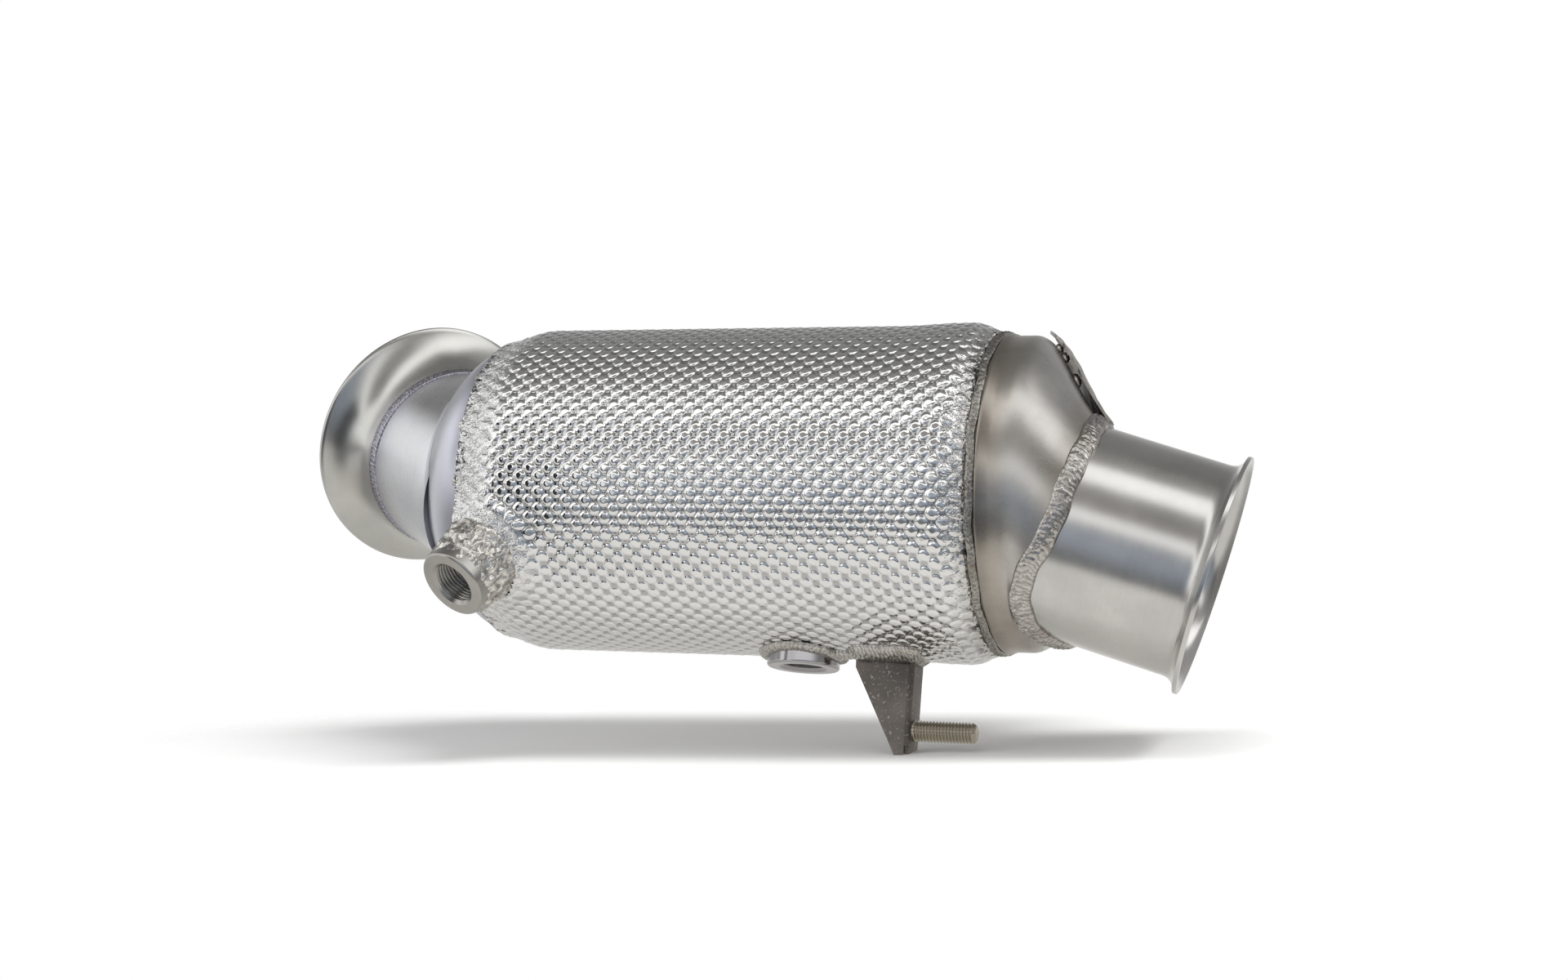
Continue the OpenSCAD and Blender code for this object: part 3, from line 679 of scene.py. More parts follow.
@dataclass(frozen=True)
class Weld:
    """A weld bead: its crests keep the metal's colour, and the hollows between its ripples get painted
    shade.
    """

    name: str
    crest: Colour
    hollow: Colour
    roughness: float
    scorch: float
    scorch_colour: Colour = (0.16, 0.1, 0.06)
    grain: float = 560.0

    def build(self) -> bpy.types.Material:
        """Makes the material, which reads from a stored attribute how deep a point lies in a ripple's
        hollow and paints shade there.
        """
        g = Surface(self.name)
        deep = g.add("ShaderNodeAttribute", attribute_name="hollow").outputs["Fac"]
        lumps = g.noise(g.place, self.grain, 3, 0.6)
        patches = g.noise(g.place, 130, 3, 0.6)
        share = g.linear(deep, 0.8, g.linear(lumps, 0.5, -0.25))
        # Painted shade: the deeper a point lies between ripples, the nearer its colour goes to the dark
        # hollow colour.
        colour = g.blend(share, self.crest, self.hollow)
        burnt = g.times(g.span(patches, 0.5, 0.68), self.scorch)
        colour = g.blend(burnt, colour, self.scorch_colour)
        rough = g.linear(lumps, 0.3, self.roughness - 0.1)
        return g.finish(colour, rough, 1.0, g.raised(lumps, 0.6, 0.5 * MM))


@dataclass(frozen=True)
class Matt:
    """A matt surface of packed fibres or grains."""

    name: str
    colour: Colour
    grain: tuple[float, float, float]
    shade: tuple[float, float]
    bump: tuple[float, float]
    roughness: float
    metallic: float = 0.0
    sheen: float = 0.0

    def build(self) -> bpy.types.Material:
        """Makes the material."""
        g = Surface(self.name)
        grains = g.noise(g.place, *self.grain)
        colour = g.shaded(self.colour, g.linear(grains, *self.shade))
        strength, depth = self.bump
        normal = g.raised(grains, strength, depth * MM)
        return g.finish(colour, self.roughness, self.metallic, normal, Sheen_Weight=self.sheen)


def show(name: str, mesh: bpy.types.Mesh) -> bpy.types.Object:
    """Puts a mesh in the scene as an object at the origin."""
    thing = bpy.data.objects.new(name, mesh)
    bpy.context.scene.collection.objects.link(thing)
    return thing


def grid_mesh(name: str, rows: Sequence[Ring], closed_rows: bool, closed_cols: bool,
              crease: float = 32.0) -> bpy.types.Mesh:
    """Skins a grid of points with quads and maps it in metres.

    Args:
        name: Name of the mesh.
        rows: Rows of points, all of one length. Along outward faces they go the way of the axis.
        closed_rows: Whether the last row joins the first.
        closed_cols: Whether each row's last point joins its first.
        crease: Edges that turn by more degrees than this stay sharp.

    Returns:
        The mesh, shaded smooth.
    """
    n, m = len(rows), len(rows[0])
    mesh = bpy.data.meshes.new(name)
    faces = [
        (i * m + j, i * m + (j + 1) % m, (i + 1) % n * m + (j + 1) % m, (i + 1) % n * m + j)
        for i in range(n if closed_rows else n - 1)
        for j in range(m if closed_cols else m - 1)
    ]
    mesh.from_pydata([p for row in rows for p in row], [], faces)
    down = [0.0]
    for i in range(n):
        down.append(down[-1] + (rows[(i + 1) % n][0] - rows[i][0]).length)
    girth = max(sum((row[(j + 1) % m] - row[j]).length for j in range(m)) for row in rows)
    across = [girth * j / m for j in range(m + 1)]
    uv = mesh.uv_layers.new(name="UVMap").data
    loop = 0
    for i in range(n if closed_rows else n - 1):
        for j in range(m if closed_cols else m - 1):
            corners = ((j, i), (j + 1, i), (j + 1, i + 1), (j, i + 1))
            for k, (u, v) in enumerate(corners):
                uv[loop + k].uv = (across[u], down[v])
            loop += 4
    mesh.shade_smooth()
    mesh.set_sharp_from_angle(angle=math.radians(crease))
    return mesh


def angles_round(sides: int) -> list[float]:
    """Returns that many even angles round a circle, in degrees."""
    return [360 * j / sides for j in range(sides)]


def turned(name: str, axis: Axis, profile: Sequence[tuple[float, float]],
           sides: int) -> bpy.types.Mesh:
    """Turns a closed outline about an axis.

    Args:
        name: Name of the mesh.
        axis: The axis.
        profile: Distance and radius of each point, the outer face first, the way of the axis.
        sides: How many sides the circle has.

    Returns:
        The mesh.
    """
    rows = [[axis.point(a, r, s) for a in angles_round(sides)] for s, r in profile]
    return grid_mesh(name, rows, True, True)


def cap(mesh: bpy.types.Mesh, ring: Sequence[int]) -> None:
    """Closes an open end with one face."""
    work = bmesh.new()
    work.from_mesh(mesh)
    work.verts.ensure_lookup_table()
    work.faces.new([work.verts[k] for k in ring])
    work.to_mesh(mesh)
    work.free()


def store_points(mesh: bpy.types.Mesh, **values: Sequence[float]) -> None:
    """Stores named numbers on a mesh's points."""
    for name, numbers in values.items():
        mesh.attributes.new(name, "FLOAT", "POINT").data.foreach_set("value", numbers)


def evaluated(thing: bpy.types.Object, all_layers: bool) -> bpy.types.Mesh:
    """Returns an object's mesh with its modifiers applied, with all its layers or only some."""
    depsgraph = bpy.context.evaluated_depsgraph_get()
    source = thing.evaluated_get(depsgraph)
    if not all_layers:
        return bpy.data.meshes.new_from_object(source)
    return bpy.data.meshes.new_from_object(
        source, preserve_all_data_layers=True, depsgraph=depsgraph
    )


def dress(thing: bpy.types.Object, material: bpy.types.Material, slot: str,
          *nodes: str) -> bpy.types.Object:
    """Gives a finished piece its material and its place in the part.

    Args:
        thing: The piece.
        material: Its material.
        slot: Not used.
        nodes: The solids that it stands for.

    Returns:
        The piece.
    """
    thing.data.materials.clear()
    thing.data.materials.append(material)
    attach(thing, "root")
    if nodes:
        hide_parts(*nodes)
    LOG.info("%s: %d faces", thing.name, len(thing.data.polygons))
    return thing


class Recipe(Graph):
    """Builds a Geometry Nodes tree with named inputs and turns its result into plain meshes."""

    def __init__(self, name: str) -> None:
        """Makes a tree that takes and gives a geometry."""
        super().__init__(bpy.data.node_groups.new(name, "GeometryNodeTree"))
        self.tree.interface.new_socket("Geometry", in_out="INPUT", socket_type="NodeSocketGeometry")
        self.tree.interface.new_socket("Geometry", in_out="OUTPUT", socket_type="NodeSocketGeometry")
        self.source = self.add("NodeGroupInput")

    def number(self, name: str, default: float = 0.0) -> Socket:
        """Adds a named number to the tree's inputs and returns its socket."""
        item = self.tree.interface.new_socket(name, in_out="INPUT", socket_type="NodeSocketFloat")
        item.default_value = default
        return self.source.outputs[name]

    def whole(self, name: str) -> Socket:
        """Adds a named whole number to the tree's inputs and returns its socket."""
        self.tree.interface.new_socket(name, in_out="INPUT", socket_type="NodeSocketInt")
        return self.source.outputs[name]

    def stored(self, name: str) -> Socket:
        """Returns a number stored on the points of the mesh."""
        node = self.add("GeometryNodeInputNamedAttribute", {"Name": name}, data_type="FLOAT")
        return node.outputs[0]

    def store(self, geometry: Socket, name: str, value: Socket) -> Socket:
        """Stores a number on the points of the mesh."""
        inputs = {"Geometry": geometry, "Name": name, "Value": value}
        node = self.add("GeometryNodeStoreNamedAttribute", inputs, data_type="FLOAT", domain="POINT")
        return node.outputs[0]

    def close(self, geometry: Socket) -> None:
        """Ends the tree in Realize Instances and Set Material."""
        self.tree.interface.new_socket("Material", in_out="INPUT", socket_type="NodeSocketMaterial")
        real = self.add("GeometryNodeRealizeInstances", {"Geometry": geometry})
        dressed = self.add("GeometryNodeSetMaterial", {
            "Geometry": real.outputs[0], "Material": self.source.outputs["Material"]
        })
        self.add("NodeGroupOutput", {"Geometry": dressed.outputs[0]})

    def apply(self, thing: bpy.types.Object, material: bpy.types.Material,
              **values: float) -> bpy.types.Object:
        """Runs the tree on an object and keeps the result as its mesh.

        Args:
            thing: The object that holds the starting mesh.
            material: The material for Set Material.
            values: The tree's inputs, with _ for each space in the name.

        Returns:
            The same object.
        """
        modifier = thing.modifiers.new(self.tree.name, "NODES")
        modifier.node_group = self.tree
        given = {name.replace("_", " "): value for name, value in values.items()}
        given["Material"] = material
        for item in self.tree.interface.items_tree:
            if item.in_out == "INPUT" and item.name in given:
                modifier[item.identifier] = given[item.name]
        result = evaluated(thing, all_layers=True)
        thing.modifiers.remove(modifier)
        thing.data = result
        return thing


def ripple_recipe() -> Recipe:
    """Makes the tree that raises a weld bead's ripples from its stored 'along' and 'across'."""
    r = Recipe("weld_ripples")
    pitch, height = r.number("Pitch"), r.number("Height")
    bow, lump, grain = r.number("Bow"), r.number("Lump"), r.number("Grain", 620.0)
    along, across = r.stored("along"), r.stored("across")
    point = r.add("GeometryNodeInputPosition").outputs[0]
    curved = r.times(bow, r.times(across, across))
    stray = r.linear(r.noise(point, 330, 3), 2.4, -1.2)
    phase = r.plus(r.plus(r.math("DIVIDE", along, pitch), curved), stray)
    scale = r.math("POWER", r.math("FRACT", phase), 0.7)
    edge = r.minus(1.0, r.math("POWER", r.math("ABSOLUTE", across), 3.0))
    wave = r.times(r.times(scale, height), edge)
    rough = r.linear(r.noise(point, grain, 3, 0.55), 2.0, -1.0)
    lift = r.plus(wave, r.times(r.times(rough, lump), edge))
    normal = r.add("GeometryNodeInputNormal").outputs[0]
    # Stores how deep each point lies in a ripple's hollow, which the weld materials darken as painted
    # shade.
    kept = r.store(r.source.outputs["Geometry"], "hollow", r.minus(1.0, scale))
    moved = r.add("GeometryNodeSetPosition", {"Geometry": kept, "Offset": r.scaled(normal, lift)})
    r.close(moved.outputs[0])
    return r


def thread_recipe() -> Recipe:
    """Makes the tree that cuts a screw thread from the stored 'axial', 'turn' and 'cut'."""
    r = Recipe("screw_thread")
    pitch, depth = r.number("Pitch"), r.number("Depth")
    phase = r.minus(r.math("DIVIDE", r.stored("axial"), pitch), r.stored("turn"))
    tooth = r.math("ABSOLUTE", r.linear(r.math("FRACT", phase), 2.0, -1.0))
    groove = r.span(tooth, 0.12, 0.92)
    cut = r.times(r.times(groove, depth), r.stored("cut"))
    normal = r.add("GeometryNodeInputNormal").outputs[0]
    offset = r.scaled(normal, r.times(cut, -1.0))
    inputs = {"Geometry": r.source.outputs["Geometry"], "Offset": offset}
    moved = r.add("GeometryNodeSetPosition", inputs)
    r.close(moved.outputs[0])
    return r


@dataclass(frozen=True)
class HeatShield:
    """The embossed foil round the can, raised within boss_zone's distances of the front boss."""

    steps: int = 6
    liner: int = 4
    crumple: float = 0.9
    wall: float = 0.9
    boss_rise: float = 5.0
    boss_zone: tuple[float, float] = (13.0, 28.0)
    front_hole: float = 16.0
    rear_hole: float = 12.5
    hole_depth: float = 30.0

    def recipe(self) -> Recipe:
        """Makes the tree that rolls a sheet into the embossed shield, with crumpled ends."""
        r = Recipe("embossed_shield")
        rows, cols = r.whole("Rows"), r.whole("Columns")
        front, length, radius = r.number("Front"), r.number("Length"), r.number("Radius")
        height, crumple, wall = r.number("Height"), r.number("Crumple"), r.number("Wall")
        total = r.plus(rows, float(self.liner))
        sheet = r.add("GeometryNodeMeshGrid", {
            "Size X": 1.0, "Size Y": 1.0, "Vertices X": r.plus(total, 1.0), "Vertices Y": cols
        })
        u, w, _ = r.split(r.add("GeometryNodeInputPosition").outputs[0])
        row = r.math("ROUND", r.times(r.plus(u, 0.5), total))
        share = r.math("MINIMUM", r.math("DIVIDE", row, rows), 1.0)
        back = r.math("DIVIDE", r.math("MAXIMUM", r.minus(row, rows), 0.0),
                      float(self.liner))
        inner = r.times(r.math("GREATER_THAN", back, 0.01), r.math("LESS_THAN", back, 0.99))
        x = r.linear(r.minus(share, back), length, front)
        angle = r.times(r.plus(w, 0.5), 2 * math.pi)
        rim = -LAYOUT.shield_len
        neck_drop, neck_len = LAYOUT.shield_neck
        tail_drop, tail_len = LAYOUT.shield_tail
        swell_rise, swell_start, swell_end = LAYOUT.shield_swell
        neck = r.span(x, rim, rim + neck_len, neck_drop, 0.0)
        tail = r.span(x, -tail_len, 0.0, 0.0, tail_drop)
        swell = r.span(x, swell_start, swell_end, 0.0, swell_rise)
        rise = r.times(EMBOSS.near_boss(r, x, angle, *self.boss_zone), self.boss_rise)
        swell = r.plus(swell, rise)
        mean = r.minus(r.plus(radius, swell), r.plus(neck, tail))
        a, b, ends, spot = EMBOSS.phases(r, x, angle)
        bump = r.times(EMBOSS.wave(r, a, b), height)
        fold = r.linear(r.noise(spot, 0.22, 3, 0.65), 2.0, -1.0)
        fold = r.times(r.times(fold, ends), crumple)
        last = r.span(x, rim, rim + 3, 0.25, 1.0)
        outer = r.plus(mean, r.times(r.plus(bump, fold), last))
        skin = r.plus(wall, r.minus(outer, mean))
        reach = r.times(r.minus(outer, r.times(inner, skin)), -MM)
        point = r.join(r.times(x, MM), r.times(r.math("COSINE", angle), reach),
                       r.times(r.math("SINE", angle), reach))
        placed = r.vector("ADD", point, tuple(LAYOUT.origin)).outputs[0]
        rolled = r.add("GeometryNodeSetPosition", {"Geometry": sheet.outputs[0], "Position": placed})
        whole = r.add("GeometryNodeMergeByDistance", {"Geometry": rolled.outputs[0], "Distance": 1e-6})
        smoothed = r.add("GeometryNodeSetShadeSmooth", {
            "Geometry": self.holed(r, whole.outputs[0])
        })
        r.close(smoothed.outputs[0])
        return r

    def holed(self, r: Recipe, geometry: Socket) -> Socket:
        """Cuts the foil away round both bosses and returns what is left."""
        for axis, hole in ((LAYOUT.front_boss_axis, self.front_hole),
                           (LAYOUT.rear_boss_axis, self.rear_hole)):
            offset = r.vector(
                "SUBTRACT", r.add("GeometryNodeInputPosition").outputs[0], tuple(axis.origin)
            ).outputs[0]
            depth = r.dot(offset, tuple(axis.along))
            off_axis = r.vector("SUBTRACT", offset, r.scaled(tuple(axis.along), depth)).outputs[0]
            near = r.math("LESS_THAN", r.vector("LENGTH", off_axis).outputs["Value"], hole * MM)
            shallow = r.math("GREATER_THAN", depth, -self.hole_depth * MM)
            inputs = {"Geometry": geometry, "Selection": r.times(near, shallow)}
            geometry = r.add("GeometryNodeDeleteGeometry", inputs, domain="POINT").outputs[0]
        return geometry

    def build(self, material: bpy.types.Material) -> bpy.types.Object:
        """Rolls the foil and puts it round the can."""
        length = LAYOUT.shield_len - 0.5
        thing = show("heat_shield_foil", bpy.data.meshes.new("heat_shield_foil"))
        self.recipe().apply(
            thing, material, Rows=round(length / EMBOSS.pitch * self.steps),
            Columns=EMBOSS.round_count * self.steps + 1, Front=-LAYOUT.shield_len, Length=length,
            Radius=LAYOUT.shield_r - EMBOSS.swell, Height=EMBOSS.swell, Crumple=self.crumple,
            Wall=self.wall,
        )
        return dress(thing, material, "embossed_foil", "heat_shield")


@dataclass(frozen=True)
class Station:
    """One place along a weld: a point on its root, and where its sides stand."""

    point: Vector
    side: Vector
    up: Vector
    left_foot: float = 0.0
    right_foot: float = 0.0
    swell: float = 1.0


@dataclass(frozen=True)
class Bead:
    """A weld bead laid along stations."""

    name: str
    half_width: float
    rise: float
    sink: float = 0.5
    pitch: float = 1.7
    height: float = 0.35
    bow: float = 0.7
    lump: float = 0.12
    grain: float = 620.0
    closed: bool = True
    across: int = 14

    def section(self, s: Station) -> list[tuple[Vector, float]]:
        """Returns the points of the bead's outline at a station, with their share across."""
        points = []
        for i in range(self.across + 1):
            c = 2 * i / self.across - 1
            foot = s.left_foot + (s.right_foot - s.left_foot) * (c + 1) / 2
            height = foot + self.rise * s.swell * math.sqrt(max(0.0, 1 - c * c))
            points.append((s.point + (s.side * c * self.half_width * s.swell + s.up * height) * MM, c))
        for c in (0.9, 0.0, -0.9):
            foot = s.left_foot * 0.2 if c < 0 else 0.0
            down = s.up * (foot - self.sink)
            points.append((s.point + (s.side * c * self.half_width * s.swell + down) * MM, c))
        return points

    def lay(self, stations: Sequence[Station]) -> bpy.types.Object:
        """Skins the bead through its stations and stores how far each point lies along it."""
        outlines = [self.section(s) for s in stations]
        rows = [[p for p, _ in outline] for outline in outlines]
        mesh = grid_mesh(self.name, rows, self.closed, True, 180.0)
        along, far = [], 0.0
        for i, s in enumerate(stations):
            far += (s.point - stations[i - 1].point).length if i else 0.0
            along += [far] * len(rows[0])
        across = [c for outline in outlines for _, c in outline]
        store_points(mesh, along=along, across=across)
        if not self.closed:
            m = len(rows[0])
            for first, turn in ((0, -1), ((len(rows) - 1) * m, 1)):
                cap(mesh, [first + j for j in range(m)][::turn])
        return show(self.name, mesh)

    def form(self, recipe: Recipe, stations: Sequence[Station],
             material: bpy.types.Material) -> bpy.types.Object:
        """Lays the bead and raises its ripples."""
        return recipe.apply(
            self.lay(stations), material, Pitch=self.pitch * MM, Height=self.height * MM,
            Bow=self.bow, Lump=self.lump * MM, Grain=self.grain
        )

    def build(self, recipe: Recipe, stations: Sequence[Station], material: bpy.types.Material,
              slot: str, *nodes: str) -> bpy.types.Object:
        """Lays the bead, raises its ripples and dresses it.

        Args:
            recipe: The ripple tree.
            stations: The places along its path.
            material: Its finish.
            slot: A slot name, handed on to dress.
            nodes: The solids that it stands for.

        Returns:
            The finished bead.
        """
        return dress(self.form(recipe, stations, material), material, slot, *nodes)


def circle_stations(axis: Axis, radius: float, distance: float, steps: int) -> list[Station]:
    """Returns stations round a circle about an axis, whose side points along the axis."""
    return [
        Station(axis.point(a, radius, distance), axis.along, axis.outward(a))
        for a in angles_round(steps)
    ]


def merged(name: str, things: Sequence[bpy.types.Object]) -> bpy.types.Object:
    """Joins several finished objects into one."""
    work = bmesh.new()
    for thing in things:
        work.from_mesh(thing.data)
    mesh = bpy.data.meshes.new(name)
    work.to_mesh(mesh)
    work.free()
    for thing in things:
        bpy.data.objects.remove(thing)
    return show(name, mesh)


@dataclass
class Inlet:
    """The flared flange, its pipe and the cone that they open into."""

    flange_r: float = 51.3
    flare: float = 22.6
    register_r: float = 46.0
    register_depth: float = 3.0
    rim: float = 2.4
    wall: float = 2.0
    cone_wall: float = 1.8

    def flange_profile(self) -> list[tuple[float, float]]:
        """Returns the flange's outline: its flare, rim, face, register and inner wall."""
        r = LAYOUT.inlet_r
        span = self.flange_r - r
        outer = curve([(-self.flare, r), (-self.flare * 0.62, r), (-self.flare * 0.3, r + span * 0.3),
                       (-self.rim, self.flange_r - 0.25)], 26)
        mouth = self.register_r
        inner = curve([(-self.register_depth, mouth), (-self.flare * 0.4, r + (mouth - r) * 0.2),
                       (-self.flare * 0.5, r - self.wall), (-self.flare, r - self.wall)], 20)
        edge = [(-self.rim + 0.3, self.flange_r), (-0.5, self.flange_r), (-0.15, self.flange_r - 0.15),
                (0.0, self.flange_r - 0.5), (0.0, mouth + 0.4), (-0.4, mouth)]
        return outer + edge + inner

    def pipe(self) -> bpy.types.Mesh:
        """Makes the pipe from the flange's bead to the cone, cut to the cone's form."""
        axis, sides = LAYOUT.inlet_axis, 192
        angles = angles_round(sides)
        walls = (LAYOUT.inlet_r, LAYOUT.inlet_r - self.wall)
        ends = [[LAYOUT.meets_can(axis, a, r, LAYOUT.inlet_deep) - 0.6 for a in angles] for r in walls]
        steps = 10
        rows = []
        for i in range(steps + 1):
            rows.append([axis.point(a, walls[0], e + (-self.flare - e) * i / steps)
                         for a, e in zip(angles, ends[0])])
        for i in range(steps + 1):
            rows.append([axis.point(a, walls[1], -self.flare + (e + self.flare) * i / steps)
                         for a, e in zip(angles, ends[1])])
        return grid_mesh("inlet_pipe_tube", rows, True, True)

    def blend(self) -> bpy.types.Mesh:
        """Makes the smooth fillet between the pipe and the cone."""
        axis, sides, leg = LAYOUT.inlet_axis, 192, 4.5
        rows: list[Ring] = [[] for _ in range(11)]
        for a in angles_round(sides):
            root = LAYOUT.meets_can(axis, a, LAYOUT.inlet_r, LAYOUT.inlet_deep)
            foot = LAYOUT.meets_can(axis, a, LAYOUT.inlet_r + leg, LAYOUT.inlet_deep)
            top = max(root, foot) + leg
            for i in range(9):
                t = i / 8
                r = LAYOUT.inlet_r + leg * (1 - t) ** 2 + 0.05
                s = (1 - t) ** 2 * foot + 2 * t * (1 - t) * (root + 0.15) + t * t * top
                rows[i].append(axis.point(a, r, s + 0.05))
            rows[9].append(axis.point(a, LAYOUT.inlet_r - 0.4, top - 1))
            rows[10].append(axis.point(a, LAYOUT.inlet_r - 0.4, root - 0.8))
        return grid_mesh("inlet_fillet", rows, True, True)

    def cone(self) -> bpy.types.Mesh:
        """Makes the spun cone, open where the inlet pipe enters it."""
        inner = LAYOUT.cone_side(self.cone_wall, 36)
        outer = LAYOUT.cone_side(0, 36)[::-1]
        mesh = turned("inlet_cone_spun", LAYOUT.can, outer + inner, 224)
        base = show("inlet_cone_base", mesh)
        cutters = []
        for axis, radius, reach in ((LAYOUT.inlet_axis, LAYOUT.inlet_r - self.wall, -LAYOUT.inlet_deep),
                                    (LAYOUT.front_boss_axis, LAYOUT.boss_bore_r + 0.6, -40.0)):
            profile = [(reach, 0.01), (reach, radius), (-2.0, radius), (-2.0, 0.01)]
            cutters.append(show("cutter", turned("cutter", axis, profile, 128)))
        for cutter in cutters:
            modifier = base.modifiers.new("hole", "BOOLEAN")
            modifier.operation, modifier.solver, modifier.object = "DIFFERENCE", "EXACT", cutter
        result = evaluated(base, all_layers=False)
        for thing in (base, *cutters):
            bpy.data.objects.remove(thing)
        result.name = "inlet_cone_spun"
        return result

    def build(self, finishes: Finishes, ripples: Recipe) -> None:
        """Makes and dresses the inlet's pieces."""
        axis = LAYOUT.inlet_axis
        flange = turned("inlet_flange_flare", axis, self.flange_profile(), 256)
        dress(show("inlet_flange_flare", flange), finishes["flare"], "flare_steel", "inlet_flange")
        dress(show("inlet_pipe_tube", self.pipe()), finishes["pipe"], "pipe_steel", "inlet_pipe")
        dress(show("inlet_cone_spun", self.cone()), finishes["dish"], "dish_steel", "inlet_cone")
        dress(show("inlet_fillet", self.blend()), finishes["blend"], "blend_bead", "inlet_pipe_weld")
        bead = Bead("inlet_flange_bead", 2.8, 1.1, pitch=1.7, height=0.6, lump=0.2)
        stations = circle_stations(axis, LAYOUT.inlet_r, -self.flare - 1.4, 560)
        bead.build(ripples, stations, finishes["blue_weld"], "blue_bead", "inlet_flange_weld")


@dataclass
class Outlet:
    """The outlet cone, its saddle weld, the pipe and the cover plate."""

    cone_wall: float = 2.4
    collar: float = 11.0
    pipe_wall: float = 1.8
    pipe_end: float = -59.6
    rim_r: float = 45.4
    flare: float = 7.5
    saddle_back: float = 59.4
    saddle_dip: float = 5.4
    saddle_climb: float = 12.0

    def saddle(self, angle: float) -> float:
        """Returns the distance of the cone's edge from the outlet face at an angle."""
        a = (angle + 180) % 360 - 180

        def swell(middle: float, width: float, at: float) -> float:
            """Returns the height of a smooth hump."""
            return math.exp(-(((at - middle) / width) ** 2))

        dip = self.saddle_dip * swell(52, 32, a)
        climb = max(swell(115, 30, a), 0.7 * swell(165, 45, a), 0.7 * swell(165, 45, a + 360))
        return -self.saddle_back - dip + self.saddle_climb * climb

    def cone_point(self, angle: float, share: float, grow: float) -> Vector:
        """Returns a point of the outlet cone's skin.

        Args:
            angle: Degrees round the can.
            share: The way from the collar to the saddle, from 0 to 1.
            grow: Millimetres outside the skin.
        """
        p = LAYOUT.can.point(angle, LAYOUT.shell_r + grow, 1 + self.collar)
        q = LAYOUT.outlet_axis.point(
            angle, LAYOUT.outlet_r + self.cone_wall + grow, self.saddle(angle)
        )
        level = p.copy()
        level.x = p.x + 0.3 * (q.x - p.x)
        return cubic(p, level, (p + q) / 2, q, share)

    def cone(self) -> bpy.types.Mesh:
        """Makes the collar and the lofted cone as one skin with a wall."""
        sides, steps = 240, 30
        angles = angles_round(sides)
        collar = [(1.0, 0.0), (2.5, 0.0), (2.8, 0.6), (3.5, 0.8), (4.2, 0.6), (5.2, 0.02), (8.0, 0.0)]
        rows = [[LAYOUT.can.point(a, LAYOUT.shell_r + h, x) for a in angles] for x, h in collar]
        rows += [[self.cone_point(a, i / steps, 0) for a in angles] for i in range(steps + 1)]
        rows += [[self.cone_point(a, i / 12, -self.cone_wall) for a in angles]
                 for i in range(12, -1, -1)]
        rows.append([LAYOUT.can.point(a, LAYOUT.shell_r - 1.5, 1.0) for a in angles])
        return grid_mesh("outlet_cone_lofted", rows, True, True)

    def pipe(self) -> bpy.types.Mesh:
        """Makes the outlet pipe with its flared rim."""
        r, rim = LAYOUT.outlet_r, self.rim_r
        outer = curve([(-self.flare, r), (-self.flare * 0.45, r), (-2.4, r + (rim - r) * 0.45),
                       (-1.6, rim - 0.1)], 14)
        inner = curve([(0.0, rim - 2.2), (-1.4, r + (rim - r) * 0.15),
                       (-self.flare * 0.3, r - self.pipe_wall), (-self.flare, r - self.pipe_wall)], 12)
        edge = [(-1.5, rim), (-0.35, rim), (-0.1, rim - 0.1), (0.0, rim - 0.35)]

        def straight(radius: float, shares: Sequence[float]) -> list[tuple[float, float]]:
            """Returns points along a straight wall, by their share of the way from its inner end."""
            return [(self.pipe_end + (-self.flare - self.pipe_end) * t, radius) for t in shares]

        profile = (straight(r, (0.0, 0.2, 0.4, 0.6, 0.8)) + outer + edge + inner
                   + straight(r - self.pipe_wall, (0.7, 0.35, 0.0)))
        return turned("outlet_pipe_tube", LAYOUT.outlet_axis, profile, 256)

    def bead(self) -> list[Station]:
        """Returns the saddle weld's stations, on the pipe beside the cone's edge."""
        axis, steps = LAYOUT.outlet_axis, 620
        spots = []
        for a in angles_round(steps):
            wander = wobble(a, (0.35, 7, 0), (0.25, 17, 40))
            spots.append((a, self.saddle(a) + 2.9 + wander))
        stations = []
        for i, (a, s) in enumerate(spots):
            b, t = spots[(i + 1) % steps]
            up = axis.outward(a)
            point = axis.point(a, LAYOUT.outlet_r, s)
            onward = (axis.point(b, LAYOUT.outlet_r, t) - point).normalized()
            side = onward.cross(up).normalized() * -1
            if side.dot(axis.along) < 0:
                side.negate()
            stations.append(Station(point, side, up, left_foot=2.2))
        return stations

    def plate(self) -> bpy.types.Mesh:
        """Makes the thin plate with ragged edges over the cone's far upper side."""
        cols, rows_n = 90, 48

        def rough(i: int, j: int) -> tuple[float, float]:
            """Returns how far the plate's edge strays at a point, in degrees and in share."""
            u, v = i / cols, j / rows_n
            near_u = max(smooth(1 - u * 12), smooth(1 - (1 - u) * 12))
            near_v = max(smooth(1 - v * 9), smooth(1 - (1 - v) * 9))
            wave = math.sin(j * 0.9) * 0.5 + math.sin(j * 0.37 + 2) * 0.7 + math.sin(j * 2.3) * 0.25
            ripple = math.sin(i * 0.8) * 0.5 + math.sin(i * 0.31 + 1) * 0.7 + math.sin(i * 2.1) * 0.3
            return 0.6 * wave * near_u, 0.01 * ripple * near_v

        def spot(i: int, j: int, over: float) -> Vector:
            """Returns a point of the plate's under or upper face."""
            da, dt = rough(i, j)
            t = 0.16 + 0.96 * j / rows_n + dt
            u = i / cols
            arch = math.sin(0.72 * math.pi * min(1.12, t))
            lift = 1.4 + arch * (2.4 * smooth(u * 1.3 - 0.3) + 5.5 * math.sin(math.pi * u) ** 2) + over
            lift += 0.3 * math.sin(i * 0.35) * math.sin(j * 0.5)
            return self.cone_point(-150 + 68 * u + da, t, lift)

